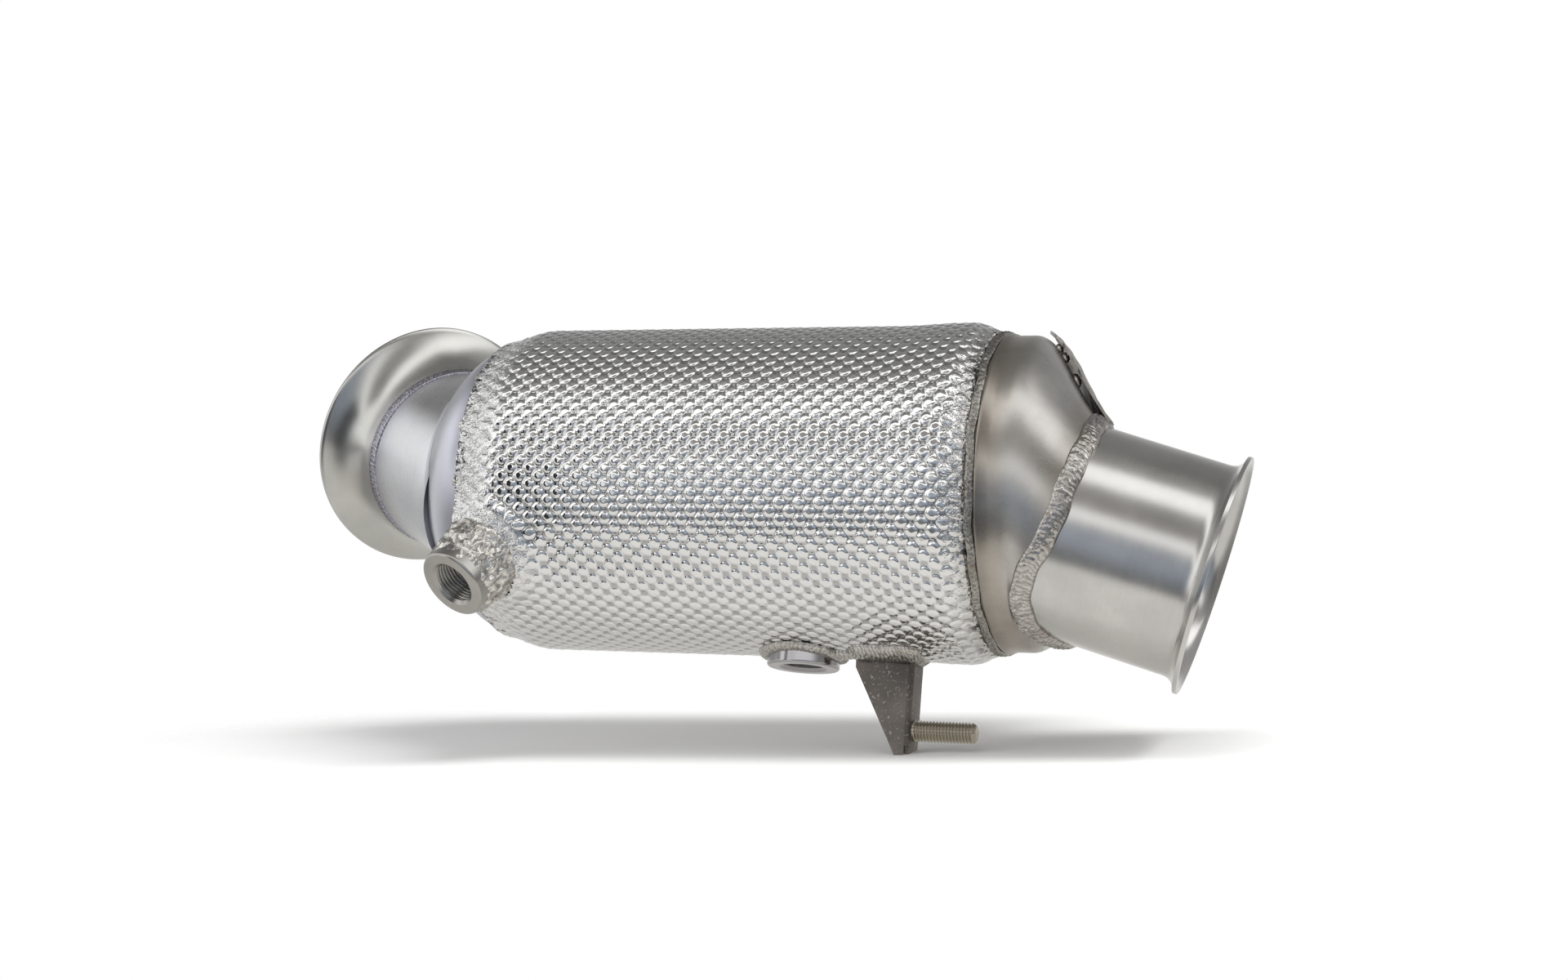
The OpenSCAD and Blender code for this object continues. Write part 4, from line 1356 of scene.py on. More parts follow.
        top = [[spot(i, j, 1.3) for i in range(cols + 1)] for j in range(rows_n + 1)]
        under = [[spot(i, j, 0.1) for i in range(cols + 1)] for j in range(rows_n + 1)]
        rows = [upper + lower[::-1] for upper, lower in zip(top, under)]
        mesh = grid_mesh("cover_plate_sheet", rows, False, True, 50.0)
        m = len(rows[0])
        cap(mesh, list(range(m))[::-1])
        cap(mesh, [rows_n * m + k for k in range(m)])
        return mesh

    def tacks(self, ripples: Recipe, material: bpy.types.Material) -> bpy.types.Object:
        """Lays the tacks that hold the plate."""
        tack = Bead("tack", 1.7, 1.6, pitch=1.4, height=0.3, bow=0.5, lump=0.3, closed=False)
        things = []
        for angle, share in ((-86, 0.3), (-87, 0.42), (-88, 0.66), (-146, 0.28), (-147, 0.7)):
            stations = []
            steps = 16
            for i in range(steps + 1):
                t = share + 0.12 * (i / steps - 0.5)
                p, q = (self.cone_point(angle, t + d, 0) for d in (0.0, 0.02))
                side = self.cone_point(angle + 1, t, 0) - p
                side.normalize()
                up = side.cross(q - p).normalized()
                if up.dot(p - LAYOUT.origin) < 0:
                    up.negate()
                swell = math.sqrt(max(0.05, 1 - (2 * i / steps - 1) ** 2))
                stations.append(Station(p, side, up, swell=swell))
            things.append(tack.form(ripples, stations, material))
        return merged("cover_plate_tack_welds", things)

    def build(self, finishes: Finishes, ripples: Recipe) -> None:
        """Makes and dresses the outlet's pieces."""
        cone = show("outlet_cone_lofted", self.cone())
        dress(cone, finishes["cone"], "cone_steel", "outlet_cone")
        dress(show("outlet_pipe_tube", self.pipe()), finishes["outlet"], "outlet_steel", "outlet_pipe")
        saddle = Bead("saddle_bead", 3.9, 2.1, sink=0.3, pitch=1.9, height=0.4, bow=-0.9, lump=0.9,
                      grain=420.0, across=18)
        saddle.build(ripples, self.bead(), finishes["silver_weld"], "silver_bead", "saddle_weld")
        plate = show("cover_plate_sheet", self.plate())
        dress(plate, finishes["plate"], "plate_steel", "cover_plate")
        tacks = self.tacks(ripples, finishes["silver_weld"])
        dress(tacks, finishes["silver_weld"], "silver_bead", "cover_plate_tacks")


def threaded(name: str, rows: Sequence[Ring], cut: Sequence[float],
             axial: Sequence[float]) -> bpy.types.Object:
    """Skins rings of points and stores what the thread tree reads.

    Args:
        name: Name of the piece.
        rows: The rings.
        cut: How much of the thread's depth each point takes, from 0 to 1.
        axial: How far each point lies along the axis, in metres.

    Returns:
        The piece, before its thread is cut.
    """
    sides = len(rows[0])
    mesh = grid_mesh(name, rows, True, True)
    store_points(mesh, cut=cut, axial=axial, turn=[j / sides for _ in rows for j in range(sides)])
    return show(name, mesh)


@dataclass
class Boss:
    """A threaded sensor boss."""

    name: str
    node: str
    axis: Axis
    depth: Callable[[float, float], float]
    chamfer: float = 0.7
    mouth: float = 1.3
    thread_pitch: float = 1.5
    thread_depth: float = 0.85

    def build(self, threads: Recipe, material: bpy.types.Material, slot: str) -> bpy.types.Object:
        """Turns the boss, with its bore cut to the can's form, and cuts its thread."""
        r, bore, sides = LAYOUT.boss_r, LAYOUT.boss_bore_r, 96
        angles = angles_round(sides)
        outer_end = [self.depth(a, r) for a in angles]
        inner_end = [self.depth(a, bore) for a in angles]
        rows: list[Ring] = []
        cut: list[float] = []
        axial: list[float] = []

        def ring(radius: float, reach: Iterable[float], deep: float) -> None:
            """Adds one ring of points and what the thread needs to know of them."""
            reach = list(reach)
            rows.append([self.axis.point(a, radius, s) for a, s in zip(angles, reach)])
            cut.extend([deep] * sides)
            axial.extend(s * MM for s in reach)

        steps = 6
        for i in range(steps):
            ring(r, (e + (-self.chamfer - 0.4 - e) * i / (steps - 1) for e in outer_end), 0.0)
        for radius, s in ((r, -self.chamfer), (r - 0.2, -0.3), (r - 0.6, 0.0), (bore + 2.2, 0.0),
                          (bore + self.mouth, 0.0), (bore + self.mouth - 0.15, -0.12)):
            ring(radius, [s] * sides, 0.0)
        start = -self.mouth - 0.1
        count = 100
        shortest = max(inner_end)
        for i in range(count + 1):
            s = start + (shortest - start) * i / count
            ring(bore, [s] * sides, min(1.0, i / 4))
        ring(bore, inner_end, 0.0)
        thing = threaded(self.name, rows, cut, axial)
        threads.apply(thing, material, Pitch=self.thread_pitch * MM, Depth=self.thread_depth * MM)
        return dress(thing, material, slot, self.node)


@dataclass
class Sensors:
    """Both sensor bosses with their welds."""

    def front_depth(self, angle: float, radius: float) -> float:
        """Returns where the front boss meets the can, a little below its surface."""
        return LAYOUT.meets_can(LAYOUT.front_boss_axis, angle, radius, LAYOUT.front_boss_deep) - 0.7

    def rear_depth(self, angle: float, radius: float) -> float:
        """Returns where the rear boss meets the shell, a little below its surface."""
        return LAYOUT.meets_can(LAYOUT.rear_boss_axis, angle, radius, LAYOUT.rear_boss_deep) - 0.3

    def front_heap(self) -> list[Station]:
        """Returns the stations of the heap of weld round the front boss."""
        axis, steps, stations = LAYOUT.front_boss_axis, 220, []
        deep = LAYOUT.front_boss_deep
        for a in angles_round(steps):
            middle = LAYOUT.boss_r + 1.3
            base = LAYOUT.meets_can(axis, a, middle, deep, shield=True)
            wall = LAYOUT.meets_can(axis, a, LAYOUT.boss_r, deep, shield=True)
            foot = LAYOUT.meets_can(axis, a, LAYOUT.boss_r + 2.8, deep, shield=True)
            stray = wobble(a, (0.7, 5, 20), (0.5, 13, 0))
            tall = max(wall - base + 3.2, -2.2 - base + stray)
            stations.append(Station(axis.point(a, middle, base), axis.outward(a), axis.along,
                                    left_foot=max(0.6, tall), right_foot=foot - base))
        return stations

    def rear_ring(self) -> list[Station]:
        """Returns the stations of the bead round the rear boss."""
        axis, steps, stations = LAYOUT.rear_boss_axis, 240, []
        for a in angles_round(steps):
            middle = LAYOUT.boss_r + 1.4
            base = LAYOUT.meets_can(axis, a, middle, LAYOUT.rear_boss_deep, shield=True)
            stations.append(Station(axis.point(a, middle, base), axis.outward(a), axis.along,
                                    left_foot=1.6))
        return stations

    def bridge(self) -> list[Station]:
        """Returns the stations of the weld that runs from the rear boss toward the bracket."""
        steps, stations = 40, []
        for i in range(steps + 1):
            t = i / steps
            x = -62.0 + 9.5 * t
            point = LAYOUT.can.point(90 - 5 + 2 * t, LAYOUT.shield_r - 0.3, x)
            swell = 0.55 + 0.45 * bulge(t)
            stations.append(Station(point, Vector((0, -1, 0)), Vector((0, 0, -1)), swell=swell))
        return stations

    def build(self, finishes: Finishes, ripples: Recipe,
              threads: Recipe) -> None:
        """Makes and dresses the bosses and their welds."""
        front = Boss("front_boss_turned", "front_sensor_boss", LAYOUT.front_boss_axis, self.front_depth)
        front.build(threads, finishes["boss"], "boss_steel")
        rear = Boss("rear_boss_turned", "rear_sensor_boss", LAYOUT.rear_boss_axis, self.rear_depth)
        rear.build(threads, finishes["dark_boss"], "dark_boss_steel")
        heap = Bead("front_boss_heap", 2.0, 1.0, sink=2.0, pitch=3.6, height=0.6, bow=0.5, lump=2.6,
                    grain=250.0, across=28)
        heap.build(ripples, self.front_heap(), finishes["burnt_weld"], "burnt_bead",
                   "front_boss_weld")
        silver = finishes["silver_weld"]
        ring = Bead("rear_boss_ring", 2.1, 1.1, pitch=1.6, height=0.35, bow=0.5, lump=0.2)
        bridge = Bead("rear_boss_bridge", 3.4, 2.4, sink=1.5, height=0.4, bow=0.5, lump=0.35,
                      closed=False)
        both = merged("rear_boss_beads", [ring.form(ripples, self.rear_ring(), silver),
                                          bridge.form(ripples, self.bridge(), silver)])
        dress(both, silver, "silver_bead", "rear_boss_weld")


def softened(name: str, node: str, width: float) -> bpy.types.Object:
    """Copies a solid's mesh, merges it and rounds its edges.

    Args:
        name: Name of the new piece.
        node: The solid to copy.
        width: Radius of the rounding, in millimetres.

    Returns:
        The new piece.
    """
    mesh = frame["nodes"][node].data.copy()
    mesh.name = name
    work = bmesh.new()
    work.from_mesh(mesh)
    bmesh.ops.remove_doubles(work, verts=work.verts, dist=1e-6)
    bmesh.ops.dissolve_limit(
        work, angle_limit=math.radians(1.0), verts=work.verts, edges=work.edges
    )
    bmesh.ops.recalc_face_normals(work, faces=work.faces)
    work.to_mesh(mesh)
    work.free()
    thing = show(name, mesh)
    modifier = thing.modifiers.new("edges", "BEVEL")
    modifier.width, modifier.segments = width * MM, 3
    modifier.limit_method, modifier.angle_limit = "ANGLE", math.radians(40)
    result = evaluated(thing, all_layers=False)
    thing.modifiers.clear()
    thing.data = result
    result.shade_smooth()
    result.set_sharp_from_angle(angle=math.radians(35))
    return thing


@dataclass
class Hanger:
    """The bent bracket, its stud and their welds."""

    thread_pitch: float = 1.25
    thread_depth: float = 0.62

    def stud(self, threads: Recipe, material: bpy.types.Material) -> bpy.types.Object:
        """Turns the stud and cuts its thread."""
        axis = Axis(LAYOUT.place((LAYOUT.bracket_x, 0, LAYOUT.stud_z)), Vector((1, 0, 0)),
                    Vector((0, -1, 0)), Vector((0, 0, -1)))
        r, length, sides = LAYOUT.stud_r, LAYOUT.stud_len, 64
        stations = [(0.0, r * 0.5, 0.0), (0.0, r, 0.0), (0.8, r, 0.0)]
        count = 216
        stations += [(0.9 + (length - 2.0) * i / count, r, min(1.0, (i + 1) / 6))
                     for i in range(count + 1)]
        stations += [(length - 0.9, r, 0.6), (length - 0.2, r - 0.75, 0.0), (length, r - 1.1, 0.0),
                     (length, 0.01, 0.0)]
        rows = [[axis.point(a, p, s) for a in angles_round(sides)] for s, p, _ in stations]
        cut = [c for _, _, c in stations for _ in range(sides)]
        axial = [s * MM for s, _, _ in stations for _ in range(sides)]
        thing = threaded("stud_threaded", rows, cut, axial)
        threads.apply(thing, material, Pitch=self.thread_pitch * MM, Depth=self.thread_depth * MM)
        return dress(thing, material, "plated_steel", "stud")

    def gusset_stations(self) -> list[Station]:
        """Returns the stations of the wide bead along the gusset, on the near side."""
        steps, stations = 150, []
        for i in range(steps + 1):
            t = i / steps
            x = -53.8 + 27.2 * t
            r = LAYOUT.shield_profile(x) - 0.2
            angle = 90 - 9.8 - 0.5 * math.sin(t * 9)
            point = LAYOUT.can.point(angle, r, x)
            up = LAYOUT.can.outward(angle)
            side = Vector((1, 0, 0)).cross(up)
            if side.y < 0:
                side.negate()
            swell = 0.5 + 0.5 * min(1.0, 8 * t, 8 * (1 - t))
            stations.append(Station(point, side, up, right_foot=3.0 * swell, swell=swell))
        return stations

    def plate_stations(self) -> list[Station]:
        """Returns the stations of the bead along the plate's face."""
        steps, stations = 60, []
        for i in range(steps + 1):
            t = i / steps
            y = -8.0 + 15.5 * t
            r = LAYOUT.shield_profile(LAYOUT.bracket_x) - 0.2
            angle = 90 - math.degrees(math.asin(-y / r))
            point = LAYOUT.can.point(angle, r, LAYOUT.bracket_x + 1.2)
            swell = 0.5 + 0.5 * min(1.0, 6 * t, 6 * (1 - t))
            stations.append(Station(point, Vector((1, 0, 0)), LAYOUT.can.outward(angle),
                                    left_foot=2.2 * swell, swell=swell))
        return stations

    def build(self, finishes: Finishes, ripples: Recipe,
              threads: Recipe) -> None:
        """Makes and dresses the bracket's pieces."""
        bracket = softened("hanger_bracket_bent", "hanger_bracket", 0.45)
        dress(bracket, finishes["pickled"], "pickled_steel", "hanger_bracket")
        self.stud(threads, finishes["plated"])
        silver = finishes["silver_weld"]
        wide = Bead("gusset", 4.2, 1.2, sink=0.8, pitch=1.5, height=0.4, bow=0.8, lump=0.35,
                    closed=False)
        thin = Bead("plate", 2.2, 1.0, sink=0.8, pitch=1.6, height=0.35, bow=0.6, lump=0.25,
                    closed=False)
        both = merged("bracket_beads", [wide.form(ripples, self.gusset_stations(), silver),
                                        thin.form(ripples, self.plate_stations(), silver)])
        dress(both, silver, "silver_bead", "bracket_weld")


@dataclass
class Can:
    """The shell, its mats, the honeycomb and the welds at the shield's ends."""

    honeycomb_front: float = -176.0
    honeycomb_len: float = 80.0
    honeycomb_r: float = 54.0
    cell: float = 2.1

    def cells(self, material: bpy.types.Material) -> bpy.types.Object:
        """Fills both faces of the honeycomb with hexagonal cells."""
        r = Recipe("honeycomb_cells")
        pitch, radius = r.number("Pitch"), r.number("Radius")
        length = r.number("Length")
        count = 60
        grid = r.add("GeometryNodeMeshGrid", {
            "Size X": 1.0, "Size Y": 1.0, "Vertices X": count, "Vertices Y": count
        })
        u, w, _ = r.split(r.add("GeometryNodeInputPosition").outputs[0])
        col = r.math("ROUND", r.times(u, float(count - 1)))
        row = r.math("ROUND", r.times(w, float(count - 1)))
        odd = r.math("ABSOLUTE", r.math("MODULO", row, 2.0))
        y = r.times(r.linear(odd, 0.5, col), pitch)
        z = r.times(r.times(row, 0.866), pitch)
        placed = r.add("GeometryNodeSetPosition", {
            "Geometry": grid.outputs[0], "Position": r.join(0.0, y, z)
        })
        far = r.vector("LENGTH", r.add("GeometryNodeInputPosition").outputs[0]).outputs["Value"]
        outside = r.math("GREATER_THAN", far, r.minus(radius, pitch))
        kept = r.add("GeometryNodeDeleteGeometry", {
            "Geometry": placed.outputs[0], "Selection": outside
        }, domain="POINT")
        cell = r.add("GeometryNodeInstanceOnPoints", {
            "Points": kept.outputs[0], "Instance": r.source.outputs["Geometry"]
        })
        back = r.add("GeometryNodeTransform", {
            "Geometry": cell.outputs[0], "Translation": r.join(length, 0.0, 0.0),
            "Rotation": (0.0, math.pi, 0.0)
        })
        both = r.add("GeometryNodeJoinGeometry")
        for part in (back, cell):
            r.tree.links.new(part.outputs[0], both.inputs[0])
        seated = r.add("GeometryNodeTransform", {
            "Geometry": both.outputs[0],
            "Translation": tuple(LAYOUT.place((self.honeycomb_front, 0, 0)))
        })
        r.close(seated.outputs[0])
        p = self.cell * MM
        rim: list[Ring] = []
        for x, share in ((2.0, 0.577), (0.0, 0.577), (0.0, 0.5), (2.0, 0.5)):
            rim.append([Vector((x * MM, p * share * math.cos(math.radians(60 * k + 30)),
                                p * share * math.sin(math.radians(60 * k + 30))))
                        for k in range(6)])
        thing = show("honeycomb_cells", grid_mesh("cell", rim, False, True, 20.0))
        r.apply(thing, material, Pitch=p, Radius=self.honeycomb_r * MM,
                Length=self.honeycomb_len * MM)
        return thing

    def core(self) -> bpy.types.Object:
        """Makes the honeycomb's body behind its cells, with its outer skin."""
        a, b, r = self.honeycomb_front, self.honeycomb_front + self.honeycomb_len, self.honeycomb_r
        profile = [(a + 2, 0.01), (a + 2, r - 0.8), (a, r - 0.8), (a, r), (b, r), (b, r - 0.8),
                   (b - 2, r - 0.8), (b - 2, 0.01)]
        return show("honeycomb_core", turned("honeycomb_core", LAYOUT.can, profile, 128))

    def rear_stations(self) -> list[Station]:
        """Returns the stations of the bead between the shield's rear rim and the collar."""
        steps, stations = 620, []
        for a in angles_round(steps):
            sway = wobble(a, (0.25, 11, 0), (0.2, 23, 70))
            point = LAYOUT.can.point(a, LAYOUT.shell_r, 0.9 + sway)
            stations.append(Station(point, Vector((1, 0, 0)), LAYOUT.can.outward(a), left_foot=1.0,
                                    right_foot=0.6))
        return stations

    def tacks(self, ripples: Recipe, material: bpy.types.Material) -> bpy.types.Object:
        """Lays the short tacks along the shield's front rim."""
        tack = Bead("tack", 1.5, 0.9, pitch=1.3, height=0.3, bow=0.4, lump=0.3, closed=False)
        things = []
        for middle in (-60, -36, -12, 10, 26, 152, 207, 257):
            steps, stations = 16, []
            for i in range(steps + 1):
                t = i / steps
                a = middle + 4.4 * (t - 0.5)
                x = -LAYOUT.shield_len - 0.6
                point = LAYOUT.can.point(a, LAYOUT.cone_r(x), x)
                swell = 0.4 + 0.6 * bulge(t)
                stations.append(Station(point, Vector((1, 0, 0)), LAYOUT.can.outward(a), swell=swell))
            things.append(tack.form(ripples, stations, material))
        return merged("shield_front_tack_welds", things)

    def build(self, finishes: Finishes, ripples: Recipe) -> None:
        """Makes and dresses the can's pieces."""
        nodes = frame["nodes"]
        for name, finish, slot in (("converter_shell", "shell", "shell_steel"),
                                   ("honeycomb_mat", "fibre", "fibre"),
                                   ("insulation_mat", "fibre", "fibre")):
            nodes[name].data.materials.clear()
            nodes[name].data.materials.append(finishes[finish])
        cells = self.cells(finishes["washcoat"])
        whole = merged("honeycomb_foil", [cells, self.core()])
        dress(whole, finishes["washcoat"], "washcoat", "honeycomb")
        rear = Bead("shield_rear_bead", 1.7, 1.1, pitch=1.7, height=0.5, lump=0.5)
        rear.build(ripples, self.rear_stations(), finishes["dark_weld"], "burnt_bead",
                   "shield_rear_weld")
        tacks = self.tacks(ripples, finishes["burnt_weld"])
        dress(tacks, finishes["burnt_weld"], "burnt_bead", "shield_front_tacks")


def sheet(name: str, corners: Sequence[Vector], material: bpy.types.Material,
          facing: Vector) -> bpy.types.Object:
    """Makes a flat sheet with four corners, which faces a given way."""
    mesh = bpy.data.meshes.new(name)
    mesh.from_pydata(corners, [], [(0, 1, 2, 3)])
    mesh.materials.append(material)
    thing = show(name, mesh)
    if facing.dot(mesh.polygons[0].normal) < 0:
        mesh.flip_normals()
    return thing


def grey(level: float, warm: float = 0.0) -> Colour:
    """Returns a grey, made beige where warm is above 0 and bluish where it is below."""
    return (level * (1 + warm), level, level * (1 - 1.6 * warm))


MIDDLE_WALL = [
    (-180, grey(0.85)), (-166, grey(0.7)), (-152, grey(0.42)), (-124, grey(0.42)),
    (-112, grey(0.55, 0.03)), (-80, grey(0.72, 0.04)), (-50, grey(0.68, 0.04)),
    (-40, grey(0.4, 0.02)), (-32, grey(0.14)), (-20, grey(0.2, -0.06)), (-6, grey(0.38, -0.12)),
    (8, grey(0.42, -0.1)), (15, grey(0.5)), (19, grey(1.3)), (27, grey(1.3)), (31, grey(0.36, 0.03)),
    (42, grey(0.28, 0.03)), (54, grey(0.36, 0.02)), (60, grey(1.5)), (75, grey(1.5)),
    (82, grey(0.38, 0.02)), (104, grey(0.2, 0.02)), (138, grey(0.26)), (160, grey(0.45)),
    (176, grey(0.85)),
]
LEFT_WALL = [
    (-180, grey(0.8)), (-150, grey(0.4)), (-115, grey(0.28, 0.02)), (-70, grey(0.6, 0.03)),
    (-36, grey(0.7)), (-25, grey(0.2)), (-14, grey(0.5)), (2, grey(1.15)), (55, grey(1.35)),
    (72, grey(1.15)), (86, grey(0.7)), (108, grey(0.6)), (122, grey(1.2)), (146, grey(1.2)),
    (164, grey(0.9)), (178, grey(0.8)),
]
RIGHT_WALL = [
    (-180, grey(0.4)), (-120, grey(0.22)), (-90, grey(0.22, 0.03)), (-50, grey(0.3, 0.03)),
    (-30, grey(0.12)), (-5, grey(0.25)), (40, grey(0.4)), (56, grey(1.7)), (84, grey(1.7)),
    (100, grey(0.4)), (175, grey(0.4)),
]


@dataclass(frozen=True)
class Studio:
    """The camera, the lamp, the floor and the light all round, in metres and degrees.

    The pairs of table_edge, table_side and floor_fade say where the floor starts to fade and where
    it has gone. card_width and card_height say where the dark card's sides lie in the view.
    """

    eye: tuple[float, float, float] = (0.48634, -0.9255, -0.24122)
    back: tuple[float, float, float] = (0.32257, -0.92039, -0.22097)
    up: tuple[float, float, float] = (-0.00811, -0.23612, 0.97169)
    focal: float = 56.634
    floor_tilt: float = 1.2
    floor_roll: float = 2.2
    floor_drop: float = 0.1005
    distance: float = 0.915
    floor_size: float = 1.6
    floor_fade: tuple[float, float] = (0.2, 0.36)
    floor_colour: Colour = (0.8, 0.795, 0.78)
    floor_glow: Colour = (0.76, 0.745, 0.71)
    table_edge: tuple[float, float] = (-0.19, -0.13)
    table_side: tuple[float, float] = (0.22, 0.3)
    table_middle: float = 0.01
    card_ahead: float = 0.13
    card_width: tuple[float, float] = (-0.36, -0.23)
    card_height: tuple[float, float] = (-0.1, 0.09)
    card_colour: Colour = (0.06, 0.06, 0.065)
    lamp_rise: float = 76.0
    lamp_aside: float = 0.4
    lamp_reach: float = 1.4
    lamp_size: tuple[float, float] = (1.2, 0.5)
    lamp_power: float = 15.0

    def axes(self) -> tuple[Vector, Vector, Vector]:
        """Returns the view's right, up and backward directions."""
        back = Vector(self.back).normalized()
        right = Vector(self.up).cross(back).normalized()
        return right, back.cross(right), back

    def camera(self) -> None:
        """Sets the camera where the photograph was taken from."""
        right, up, back = self.axes()
        data = bpy.data.cameras.new("camera")
        data.lens, data.sensor_width = self.focal, 36.0
        data.clip_start, data.clip_end = 0.01, 50.0
        thing = bpy.data.objects.new("camera", data)
        bpy.context.scene.collection.objects.link(thing)
        turn = Matrix((right, up, back)).transposed().to_4x4()
        thing.matrix_world = Matrix.Translation(Vector(self.eye)) @ turn
        bpy.context.scene.camera = thing

    def lamp(self) -> None:
        """Hangs the one lamp above the part, facing it and unseen in reflections."""
        right, up, back = self.axes()
        rise = math.radians(self.lamp_rise)
        data = bpy.data.lights.new("top_lamp", "AREA")
        data.shape, data.energy = "RECTANGLE", self.lamp_power
        data.size, data.size_y = self.lamp_size
        thing = bpy.data.objects.new("top_lamp", data)
        bpy.context.scene.collection.objects.link(thing)
        offset = (back * math.cos(rise) + up * math.sin(rise)) * self.lamp_reach + right * self.lamp_aside
        out = offset.normalized()
        level = (right - out * right.dot(out)).normalized()
        turn = Matrix((level, out.cross(level), out)).transposed().to_4x4()
        thing.matrix_world = Matrix.Translation(self.centre() + offset) @ turn
        thing.visible_glossy = False

    def centre(self) -> Vector:
        """Returns the point that the camera looks at, in the part's middle."""
        return Vector(self.eye) - Vector(self.back).normalized() * self.distance

    def world(self) -> None:
        """Surrounds the part with a pale studio: walls, strips and dark gaps, and the backdrop."""
        right, up, back = self.axes()
        world = bpy.data.worlds.new("studio")
        bpy.context.scene.world = world
        world.use_nodes = True
        g = Graph(world.node_tree)
        g.tree.nodes.clear()
        way = g.add("ShaderNodeTexCoord").outputs["Generated"]
        rise = g.math("ARCTAN2", g.dot(way, tuple(up)), g.dot(way, tuple(back)))
        share = g.linear(rise, 0.5 / math.pi, 0.5)
        aside = g.dot(way, tuple(right))
        walls = [g.ramp(share, [(angle / 360 + 0.5, colour) for angle, colour in stops])
                 for stops in (LEFT_WALL, MIDDLE_WALL, RIGHT_WALL)]
        light = g.blend(g.span(aside, -0.8, -0.54), walls[0], walls[1])
        light = g.blend(g.span(aside, 0.35, 0.75), light, walls[2])
        path = g.add("ShaderNodeLightPath").outputs
        bounced = g.math("MAXIMUM", path["Is Glossy Ray"], path["Is Transmission Ray"])
        behind = g.span(g.times(g.dot(way, tuple(back)), -1.0), 0.955, 0.985)
        seen = g.math("MAXIMUM", path["Is Camera Ray"], g.times(bounced, behind))
        colour = g.blend(seen, light, WHITE)
        shader = g.add("ShaderNodeBackground", {"Color": colour, "Strength": 1.0})
        g.add("ShaderNodeOutputWorld", {"Surface": shader.outputs[0]})

    def card(self) -> None:
        """Stands a dark card in front of the part, on its left, which only reflections show."""
        right, up, back = self.axes()
        middle = self.centre() + back * self.card_ahead
        (left, far), (low, high) = self.card_width, self.card_height
        corners = [middle + right * x + up * y
                   for x, y in ((left, low), (far, low), (far, high), (left, high))]
        g = Surface("dark_card")
        material = g.end(g.add("ShaderNodeBsdfDiffuse", {"Color": self.card_colour}))
        thing = sheet("dark_card", corners, material, -back)
        thing.visible_camera = thing.visible_diffuse = thing.visible_shadow = False

    def floor(self) -> None:
        """Lays the pale floor under the part, fading into the white all round."""
        right, up, back = self.axes()
        tilt, roll = math.radians(self.floor_tilt), math.radians(self.floor_roll)
        normal = (up * math.cos(tilt) + back * math.sin(tilt) - right * math.sin(roll)).normalized()
        level = (right - normal * right.dot(normal)).normalized()
        ahead = normal.cross(level).normalized()
        centre = self.centre() - up * self.floor_drop
        size = self.floor_size
        corners = [centre + level * x * size + ahead * y * size
                   for x, y in ((-1, -1), (1, -1), (1, 1), (-1, 1))]
        g = Surface("pale_floor")
        far = g.vector("DISTANCE", g.place, tuple(centre)).outputs["Value"]
        offset = g.vector("SUBTRACT", g.place, tuple(centre)).outputs[0]
        table = g.span(g.dot(offset, tuple(ahead)), *self.table_edge)
        sideways = g.math("ABSOLUTE", g.minus(g.dot(offset, tuple(level)), self.table_middle))
        table = g.times(table, g.span(sideways, *self.table_side, 1.0, 0.0))
        near = g.span(far, *self.floor_fade, 1.0, 0.0)
        seen = g.add("ShaderNodeLightPath").outputs["Is Camera Ray"]
        inside = g.plus(g.times(seen, near), g.times(g.minus(1.0, seen), table))
        matt = g.add("ShaderNodeBsdfDiffuse", {"Color": g.blend(seen, self.floor_colour, WHITE)})
        clear = g.add("ShaderNodeBsdfTransparent")
        glow = g.add("ShaderNodeEmission", {"Color": self.floor_glow, "Strength": 1.0})
        share = g.linear(seen, -0.6, 0.6)
        top = g.add("ShaderNodeMixShader", {0: share, 1: matt.outputs[0], 2: glow.outputs[0]})
        mixed = g.add("ShaderNodeMixShader", {0: inside, 1: clear.outputs[0], 2: top.outputs[0]})
        sheet("floor", corners, g.end(mixed), normal)

    def build(self) -> None:
        """Sets the whole studio."""
        self.camera()
        self.world()
        self.lamp()
        self.card()
        self.floor()
        bpy.context.scene.view_settings.view_transform = "Standard"


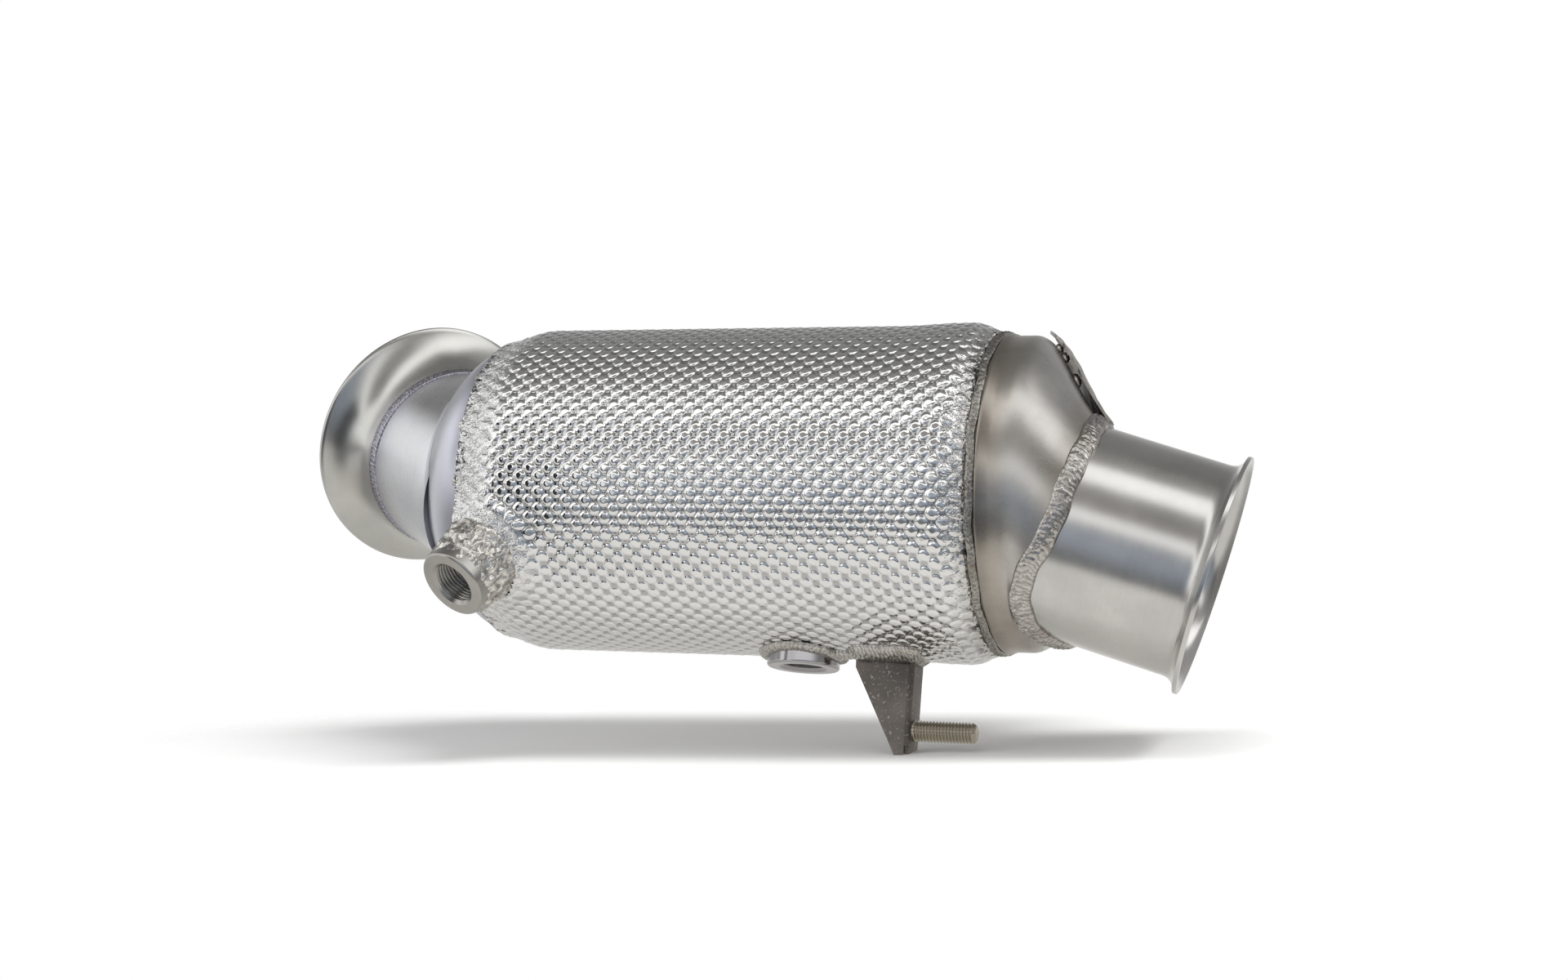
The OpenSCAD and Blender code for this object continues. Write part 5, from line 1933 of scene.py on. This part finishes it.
def finishes() -> Finishes:
    """Makes every material of the part."""
    inlet, outlet, can = LAYOUT.inlet_axis, LAYOUT.outlet_axis, LAYOUT.can
    blue = ((0.0, (0.52, 0.5, 0.6)), (0.2, (0.78, 0.77, 0.88)), (0.5, (0.94, 0.94, 1.0)),
            (1.0, WHITE))
    brown = ((0.0, (0.46, 0.41, 0.36)), (0.35, (0.74, 0.69, 0.63)), (1.0, WHITE))
    flange_bead = inlet.point(0, 0, -24.0)
    shield_rim = can.point(0, 0, -LAYOUT.shield_len)
    made = [
        ("flare", Steel("flare_steel", (0.58, 0.575, 0.55), 0.22, brush=0.1, anisotropic=0.5,
                        tints=(Tint(flange_bead, inlet.along, blue, 9.0, 0.6),))),
        ("pipe", Steel("pipe_steel", (0.66, 0.665, 0.68), 0.24, brush=0.1, anisotropic=0.3,
                       tints=(Tint(flange_bead, -inlet.along, blue, 16.0, 0.6),))),
        ("dish", Steel("dish_steel", (0.66, 0.67, 0.7), 0.28, brush=0.1,
                       tints=(Tint(shield_rim, -can.along, blue, 24.0, 0.6),))),
        ("blend", Steel("blend_steel", (0.66, 0.67, 0.72), 0.45, brush=0.1)),
        ("shell", Steel("shell_steel", (0.5, 0.48, 0.46), 0.45, Grain.RANDOM)),
        ("cone", Steel("cone_steel", (0.53, 0.515, 0.49), 0.25, Grain.RANDOM, brush=0.22, smudge=0.2,
                       tints=(Tint(can.point(0, 0, 2.0), can.along, brown, 16.0, 0.85),
                              Tint(outlet.point(0, 0, -57.0), -outlet.along, brown, 12.0, 0.6)))),
        ("outlet", Steel("outlet_steel", (0.64, 0.63, 0.61), 0.22, brush=0.12, anisotropic=0.6)),
        ("boss", Steel("boss_steel", (0.43, 0.42, 0.395), 0.26, brush=0.1)),
        ("dark_boss", Steel("dark_boss_steel", (0.46, 0.45, 0.46), 0.16, brush=0.1)),
        ("pickled", Steel("pickled_steel", (0.19, 0.17, 0.155), 0.42, Grain.RANDOM, brush=0.3,
                          smudge=0.35, speckle=0.5)),
        ("plated", Steel("plated_steel", (0.44, 0.405, 0.335), 0.2, brush=0.1)),
        ("plate", Steel("plate_steel", (0.5, 0.48, 0.45), 0.45, Grain.RANDOM, brush=0.3,
                        smudge=0.3)),
        ("foil", Foil()),
        # Each weld's second colour is the painted shade in the hollows between its ripples.
        ("blue_weld", Weld("blue_weld", (0.58, 0.57, 0.6), (0.1, 0.1, 0.2), 0.24, 0.1)),
        ("silver_weld", Weld("silver_weld", (0.68, 0.655, 0.62), (0.14, 0.125, 0.11), 0.22, 0.3)),
        ("burnt_weld", Weld("burnt_weld", (0.88, 0.86, 0.82), (0.2, 0.18, 0.16), 0.2, 0.35)),
        ("dark_weld", Weld("dark_weld", (0.46, 0.445, 0.41), (0.07, 0.065, 0.06), 0.26, 0.3)),
        ("fibre", Matt("packed_fibre", (0.8, 0.79, 0.75), (900, 5, 0.75), (0.4, 0.75), (0.6, 0.4),
                       0.95, sheen=0.3)),
        ("washcoat", Matt("washcoat", (0.36, 0.3, 0.24), (1400, 3, 0.7), (0.5, 0.7), (0.4, 0.2),
                          0.75, metallic=0.3)),
    ]
    return {name: finish.build() for name, finish in made}


def main() -> None:
    """Builds the part's pieces and the studio."""
    logging.basicConfig(level=logging.INFO, format="%(name)s %(message)s")
    made = finishes()
    ripples, threads = ripple_recipe(), thread_recipe()
    Can().build(made, ripples)
    HeatShield().build(made["foil"])
    Inlet().build(made, ripples)
    Outlet().build(made, ripples)
    Sensors().build(made, ripples, threads)
    Hanger().build(made, ripples, threads)
    Studio().build()


if __name__ == "__main__":
    main()
